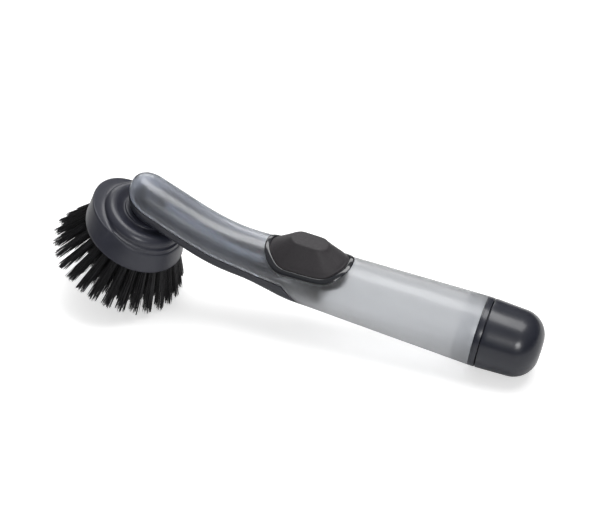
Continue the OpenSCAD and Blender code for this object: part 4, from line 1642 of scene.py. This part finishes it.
@dataclass
class HeadShell:
    """The bell of the brush head: a skirt with a scraper lip at the front, and a round collar."""

    rim_r: float = 27.2
    skirt_h: float = 12.0
    crease_r: float = 22.8
    collar_r: float = 17.4
    collar_round: float = 4.2
    height: float = 17.4
    wall: float = 1.8
    lip_shift: float = 6.4
    lip_r: float = 21.9
    lip_tilt: float = 0.08
    lip_drop: float = 1.3
    lip_round: tuple[float, float] = (0.45, 0.5)
    lip_fade: tuple[float, float] = (0.2, 1.4)
    rim_wall: float = 1.4
    rim_edge: float = 0.5
    collar_turn: float = 118.0
    socket_r: float = 7.05
    socket_wall: float = 2.4
    plate: tuple[float, float] = (3.0, 5.5)
    steps: int = 240
    flank_rows: int = 14
    ledge_rows: int = 5
    head: Placement | None = None

    def _skirt(self, t: float) -> float:
        """Radius of the skirt at a height."""
        return self.rim_r + (self.crease_r - self.rim_r) * t / self.skirt_h

    def _lip(self, angle: float) -> tuple[float, float]:
        """Radius and height of the lip's edge in a direction; the front is at 180 degrees.

        Args:
            angle: direction round the head in radians.

        Returns:
            The radius and the height.
        """
        c, s = math.cos(angle), math.sin(angle)
        r = -self.lip_shift * c + math.sqrt(max(0.0, self.lip_r**2 - (self.lip_shift * s) ** 2))
        return r, self.skirt_h - self.lip_drop - self.lip_tilt * r * c

    def _profile(self, angle: float) -> list[tuple[float, float]]:
        """The outside of the head in one direction, from the rim up to the stem.

        Args:
            angle: direction round the head in radians.

        Returns:
            Pairs of radius and height.
        """
        rim, edge, h = self.rim_r, self.rim_edge, self.height
        made = [(rim - self.rim_wall, 0.35), (rim - 1.0, 0.12), (rim - 0.6, 0.0), (rim - 0.2, 0.1),
                (rim, edge)]
        lip_r, lip_t = self._lip(angle)
        over = lip_r - self._skirt(lip_t)
        k = ease((over + self.lip_fade[0]) / self.lip_fade[1])
        for i in range(1, self.flank_rows + 1):
            t = edge + (lip_t - 0.7 - edge) * i / self.flank_rows
            straight = rim + (lip_r + 0.05 - rim) * (t - edge) / (lip_t - edge)
            made.append((self._skirt(t) * (1 - k) + max(straight, self._skirt(t)) * k, t))
        round_w, round_h = self.lip_round
        r_top = self._skirt(lip_t) * (1 - k) + lip_r * k - round_w
        for turn in (15, 35, 55, 75, 90):
            a = math.radians(turn)
            made.append((r_top + round_w * math.cos(a), lip_t - round_h + round_h * math.sin(a)))
        inner = self.crease_r - 0.25
        for i in range(1, self.ledge_rows + 1):
            s = i / self.ledge_rows
            rise = (self.skirt_h + 0.05 - lip_t) * s**2 * (1 - k) + 0.15 * s**4 * k
            made.append((r_top + (inner - r_top) * s, lip_t + rise))
        low = made[-1][1]
        made.append((self.crease_r - 0.7, low + 0.15))
        made.append((self.collar_r + self.collar_round - 0.05, max(low + 0.5, self.skirt_h + 0.6)))
        made += arc(self.collar_r, h - self.collar_round, self.collar_round, 0, self.collar_turn, 18)[1:]
        made += [(13.9, h - 1.0), (12.9, h - 1.3), (12.2, h - 1.3), (11.7, h - 1.1), (11.5, h - 0.7),
                 (11.5, h - 0.15), (11.3, h), (self.socket_r + 0.3, h), (self.socket_r, h - 0.3)]
        return made

    def _inside(self) -> list[tuple[float, float]]:
        """The inside of the head: the socket, the hollow round it and the bristle plate's seat.

        Returns:
            Pairs of radius and height, from the socket's foot round to the rim.
        """
        socket, (plate_low, plate_top) = self.socket_r + self.socket_wall, self.plate
        plate_r = self._skirt(plate_low) - self.wall
        hollow_r = self._skirt(7) - self.wall
        return [(self.socket_r, 0.05), (socket, 0.05), (socket, self.height - 2.7),
                (self.collar_r - 0.5, self.height - 2.3), (self.crease_r - self.wall - 0.5, self.skirt_h),
                (hollow_r, 7.0), (hollow_r, plate_top), (plate_r, plate_top), (plate_r, 1.8),
                (self.rim_r - self.rim_wall, 0.36)]

    def build(self, finishes: Finishes) -> bpy.types.Object:
        """Makes the bell and gives it its finish.

        Args:
            finishes: the wand's finishes.

        Returns:
            The bell.
        """
        data = MeshData()
        turns = [2 * math.pi * i / self.steps for i in range(self.steps)]
        outside = [self._profile(a) for a in turns]
        rings = [[profile[i] for profile in outside] for i in range(len(outside[0]))]
        rings += [[corner] * self.steps for corner in self._inside()]
        rows = [data.add_row([(r * math.cos(a), r * math.sin(a), h) for (r, h), a in zip(ring, turns)])
                for ring in rings]
        for a, b in zip(rows, rows[1:] + rows[:1]):
            data.bridge(a, b)
        obj = data.to_object("head_bell", self.head)
        outward(obj)
        smooth(obj, 48)
        obj.data.materials.append(finishes.head)
        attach(obj, Body.HEAD.value)
        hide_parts("head_shell")
        return obj


@dataclass(frozen=True)
class CarriedNode:
    """A CAD node whose form is right: it is copied, merged, shaded smooth and dressed."""

    node: str
    body: Body
    slot: str
    angle: float = 32.0
    merge: float = 2e-6
    foot: float = 0.3
    held_by: Body | None = None

    def _fold(self, obj: bpy.types.Object, place: Placement) -> None:
        """Finds the piece's foot and top, and bakes its placement into its mesh.

        Args:
            obj: the piece, whose mesh is in the row frame.
            place: the wand's placement.
        """
        into = (Matrix.Scale(MM, 4) @ place.matrix).inverted()
        spots = [into @ v.co for v in obj.data.vertices]
        low, high = min(spots, key=lambda p: p.z), max(spots, key=lambda p: p.z)
        x = sum(p.x for p in spots) / len(spots)
        start, end = place.point(x, 0, low.z + self.foot), place.point(x, 0, high.z - self.foot)
        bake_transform(obj)

    def build(self, material: bpy.types.Material, place: Placement) -> bpy.types.Object:
        """Makes the dressed copy.

        Args:
            material: its finish.
            place: the wand's placement.

        Returns:
            The copy.
        """
        obj = link_object(self.node + "_fine", frame["nodes"][self.node].data.copy())
        bm = bmesh.new()
        bm.from_mesh(obj.data)
        bmesh.ops.remove_doubles(bm, verts=bm.verts, dist=self.merge)
        bm.to_mesh(obj.data)
        bm.free()
        smooth(obj, self.angle)
        obj.data.materials.clear()
        obj.data.materials.append(material)
        if self.held_by is None:
            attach(obj, self.body.value)
        else:
            self._fold(obj, place)
        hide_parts(self.node)
        return obj


@dataclass(frozen=True)
class Lamp:
    """A soft rectangular lamp, in metres and watts."""

    name: str
    at: Point
    aim: Point
    size: tuple[float, float]
    power: float

    def build(self) -> bpy.types.Object:
        """Makes the lamp.

        Returns:
            The lamp's object, turned towards its aim.
        """
        lamp = bpy.data.lights.new(self.name, "AREA")
        lamp.shape, lamp.energy = "RECTANGLE", self.power
        lamp.size, lamp.size_y = self.size
        obj = bpy.data.objects.new(self.name, lamp)
        bpy.context.scene.collection.objects.link(obj)
        obj.location = self.at
        obj.rotation_mode = "QUATERNION"
        obj.rotation_quaternion = (Vector(self.aim) - Vector(self.at)).to_track_quat("-Z", "Y")
        return obj


def map_range(tree: bpy.types.NodeTree, source: bpy.types.NodeSocket, start: float = 0.0, end: float = 1.0,
              low: float = 0.0, high: float = 1.0) -> bpy.types.Node:
    """Adds a node that runs from low to high as its source runs from start to end.

    Args:
        tree: the tree that gets the node.
        source: what drives it.
        start: the source's value at low.
        end: the source's value at high.
        low: the result at start.
        high: the result at end.

    Returns:
        The node.
    """
    made = tree.nodes.new("ShaderNodeMapRange")
    for key, value in (("From Min", start), ("From Max", end), ("To Min", low), ("To Max", high)):
        made.inputs[key].default_value = value
    tree.links.new(source, made.inputs["Value"])
    return made


def seen_directly(tree: bpy.types.NodeTree, path: bpy.types.Node) -> bpy.types.NodeSocket:
    """Tells the rays that show the background, straight or through the clear shell, from the rest.

    Args:
        tree: the tree that gets the node.
        path: its Light Path node.

    Returns:
        A socket that is 1 for a camera ray or a transmitted ray.
    """
    seen = tree.nodes.new("ShaderNodeMath")
    seen.operation = "MAXIMUM"
    tree.links.new(path.outputs["Is Camera Ray"], seen.inputs[0])
    tree.links.new(path.outputs["Is Transmission Ray"], seen.inputs[1])
    return seen.outputs[0]


@dataclass(frozen=True)
class Studio:
    """A pale floor, soft light and the camera.

    Gloss sees a table that darkens between two distances, and a room that is dark at its horizon.
    """

    turn: float = 18.638
    height: float = 37.995
    shift: tuple[float, float] = (-89.083, 32.093)
    distance: float = 900.0
    lens: float = 108.0
    sensor: float = 36.0
    floor_half: float = 3.0
    floor_tone: float = 0.86
    glow: float = 0.5
    table: tuple[float, float] = (0.3, 0.48)
    table_tone: tuple[float, float] = (0.8, 0.05)
    horizon: tuple[float, float] = (0.05, 0.6)
    ambient: tuple[float, float] = (0.04, 0.34)
    lamps: tuple[Lamp, ...] = (
        Lamp("above", (0.1, 0.3, 1.35), (0, 0, 0.03), (1.3, 0.75), 14.0),
        Lamp("front", (0.45, -0.8, 0.5), (0.02, 0, 0.03), (0.32, 0.28), 2.8),
        Lamp("behind", (-0.4, 0.9, 0.5), (-0.02, 0, 0.03), (0.9, 0.4), 2.4),
    )

    def build(self, place: Placement) -> None:
        """Sets up the floor, the world, the lamps and the camera.

        Args:
            place: the wand's placement, whose origin the camera was fitted from.
        """
        self._floor()
        self._world()
        for lamp in self.lamps:
            lamp.build()
        self._camera(place)

    def _floor(self) -> None:
        """A wide floor that stays white except under the object's shadow."""
        half = self.floor_half
        mesh = bpy.data.meshes.new("floor")
        mesh.from_pydata([(-half, -half, 0), (half, -half, 0), (half, half, 0), (-half, half, 0)], [],
                         [(0, 1, 2, 3)])
        obj = link_object("floor", mesh)
        material = bpy.data.materials.new("floor_white")
        material.use_nodes = True
        tree = material.node_tree
        bsdf = tree.nodes["Principled BSDF"]
        bsdf.inputs["Roughness"].default_value = 0.9
        path = tree.nodes.new("ShaderNodeLightPath")
        coords = tree.nodes.new("ShaderNodeTexCoord")
        reach = tree.nodes.new("ShaderNodeVectorMath")
        reach.operation = "LENGTH"
        tree.links.new(coords.outputs["Object"], reach.inputs[0])
        table = map_range(tree, reach.outputs["Value"], *self.table, *self.table_tone)
        shade = map_range(tree, path.outputs["Is Glossy Ray"], low=self.floor_tone)
        tree.links.new(table.outputs["Result"], shade.inputs["To Max"])
        tree.links.new(shade.outputs["Result"], bsdf.inputs["Base Color"])
        glow = tree.nodes.new("ShaderNodeMath")
        glow.operation = "MULTIPLY"
        glow.inputs[1].default_value = self.glow
        tree.links.new(seen_directly(tree, path), glow.inputs[0])
        bsdf.inputs["Emission Color"].default_value = (1, 1, 1, 1)
        tree.links.new(glow.outputs[0], bsdf.inputs["Emission Strength"])
        mesh.materials.append(material)

    def _world(self) -> None:
        """A world that lights softly and shows white behind the object and through it."""
        world = bpy.data.worlds.new("studio")
        bpy.context.scene.world = world
        world.use_nodes = True
        tree = world.node_tree
        back = tree.nodes["Background"]
        path = tree.nodes.new("ShaderNodeLightPath")
        coords = tree.nodes.new("ShaderNodeTexCoord")
        split = tree.nodes.new("ShaderNodeSeparateXYZ")
        tree.links.new(coords.outputs["Generated"], split.inputs["Vector"])
        sky = map_range(tree, split.outputs["Z"], *self.horizon, *self.ambient)
        mix = map_range(tree, seen_directly(tree, path))
        tree.links.new(sky.outputs["Result"], mix.inputs["To Min"])
        back.inputs["Color"].default_value = (1, 1, 1, 1)
        tree.links.new(mix.outputs["Result"], back.inputs["Strength"])

    def _camera(self, place: Placement) -> None:
        """The camera at the photograph's angle and distance.

        Args:
            place: the wand's placement.
        """
        a, e = math.radians(self.turn), math.radians(self.height)
        back = Vector((math.sin(a) * math.cos(e), -math.cos(a) * math.cos(e), math.sin(e)))
        right = Vector((math.cos(a), math.sin(a), 0))
        up = back.cross(right)
        target = place.matrix.translation + right * self.shift[0] + up * self.shift[1]
        lens = bpy.data.cameras.new("camera")
        lens.lens, lens.sensor_width, lens.clip_start = self.lens, self.sensor, 0.01
        obj = bpy.data.objects.new("camera", lens)
        bpy.context.scene.collection.objects.link(obj)
        turn = Matrix((right, up, back)).transposed().to_4x4()
        obj.matrix_world = Matrix.Translation((target + back * self.distance) * MM) @ turn
        bpy.context.scene.camera = obj


HEAD_LEAN = math.radians(19.0)
HEAD_RIM: Point = (-185.367, 0.0, -8.536)


def main() -> None:
    """Builds the wand's sub-assemblies in order, then the studio."""
    logging.basicConfig(level=logging.INFO, format="%(name)s: %(message)s")
    wand = wand_placement(frame["record"])
    head = wand.within(Matrix.Translation(HEAD_RIM) @ Matrix.Rotation(HEAD_LEAN, 4, "Y"))
    mouth = wand.within(Matrix.Rotation(math.pi / 2, 4, "Y"))
    finishes = Finishes.make()
    builders: list[tuple[str, Callable[[], object]]] = [
        ("shell", lambda: Shell(place=wand).build(finishes)),
        ("neck base", lambda: NeckBase(place=wand, head=head).build(finishes)),
        ("button ring", lambda: ButtonRing(place=wand).build(finishes)),
        ("button skin", lambda: ButtonSkin(place=wand).build(finishes)),
        ("cap and collar", lambda: Cap(place=mouth).build(finishes)),
        ("head bell", lambda: HeadShell(head=head).build(finishes)),
        ("bristles", lambda: Bristles(head=head).build(finishes)),
    ]
    for name, build in builders:
        build()
        log.info("built %s", name)
    carried = [
        (CarriedNode("button_core", Body.BUTTON, "dark_plastic"), finishes.base),
        (CarriedNode("pump_housing", Body.WAND, "dark_plastic"), finishes.inner),
        (CarriedNode("housing_seal", Body.WAND, "black_seal"), finishes.seal),
        (CarriedNode("pump_bellows", Body.WAND, "black_seal", held_by=Body.BUTTON), finishes.seal),
        (CarriedNode("inlet_valve", Body.WAND, "pale_valve"), finishes.silicone),
        (CarriedNode("outlet_valve", Body.WAND, "pale_valve"), finishes.silicone),
        (CarriedNode("delivery_tube", Body.WAND, "pale_valve"), finishes.silicone),
        (CarriedNode("nozzle_elbow", Body.WAND, "dark_plastic"), finishes.base),
        (CarriedNode("nozzle_valve", Body.WAND, "pale_valve"), finishes.silicone),
        (CarriedNode("valve_retainer", Body.WAND, "dark_plastic"), finishes.base),
        (CarriedNode("spigot_seal", Body.WAND, "black_seal"), finishes.seal),
        (CarriedNode("cap_seal", Body.WASHER, "black_seal"), finishes.seal),
        (CarriedNode("bristle_plate", Body.HEAD, "head_plastic"), finishes.head),
    ]
    for piece, material in carried:
        piece.build(material, wand)
        log.info("dressed %s", piece.node)
    Studio().build(wand)
    bpy.context.scene.view_settings.view_transform = "Standard"


if __name__ == "__main__":
    main()
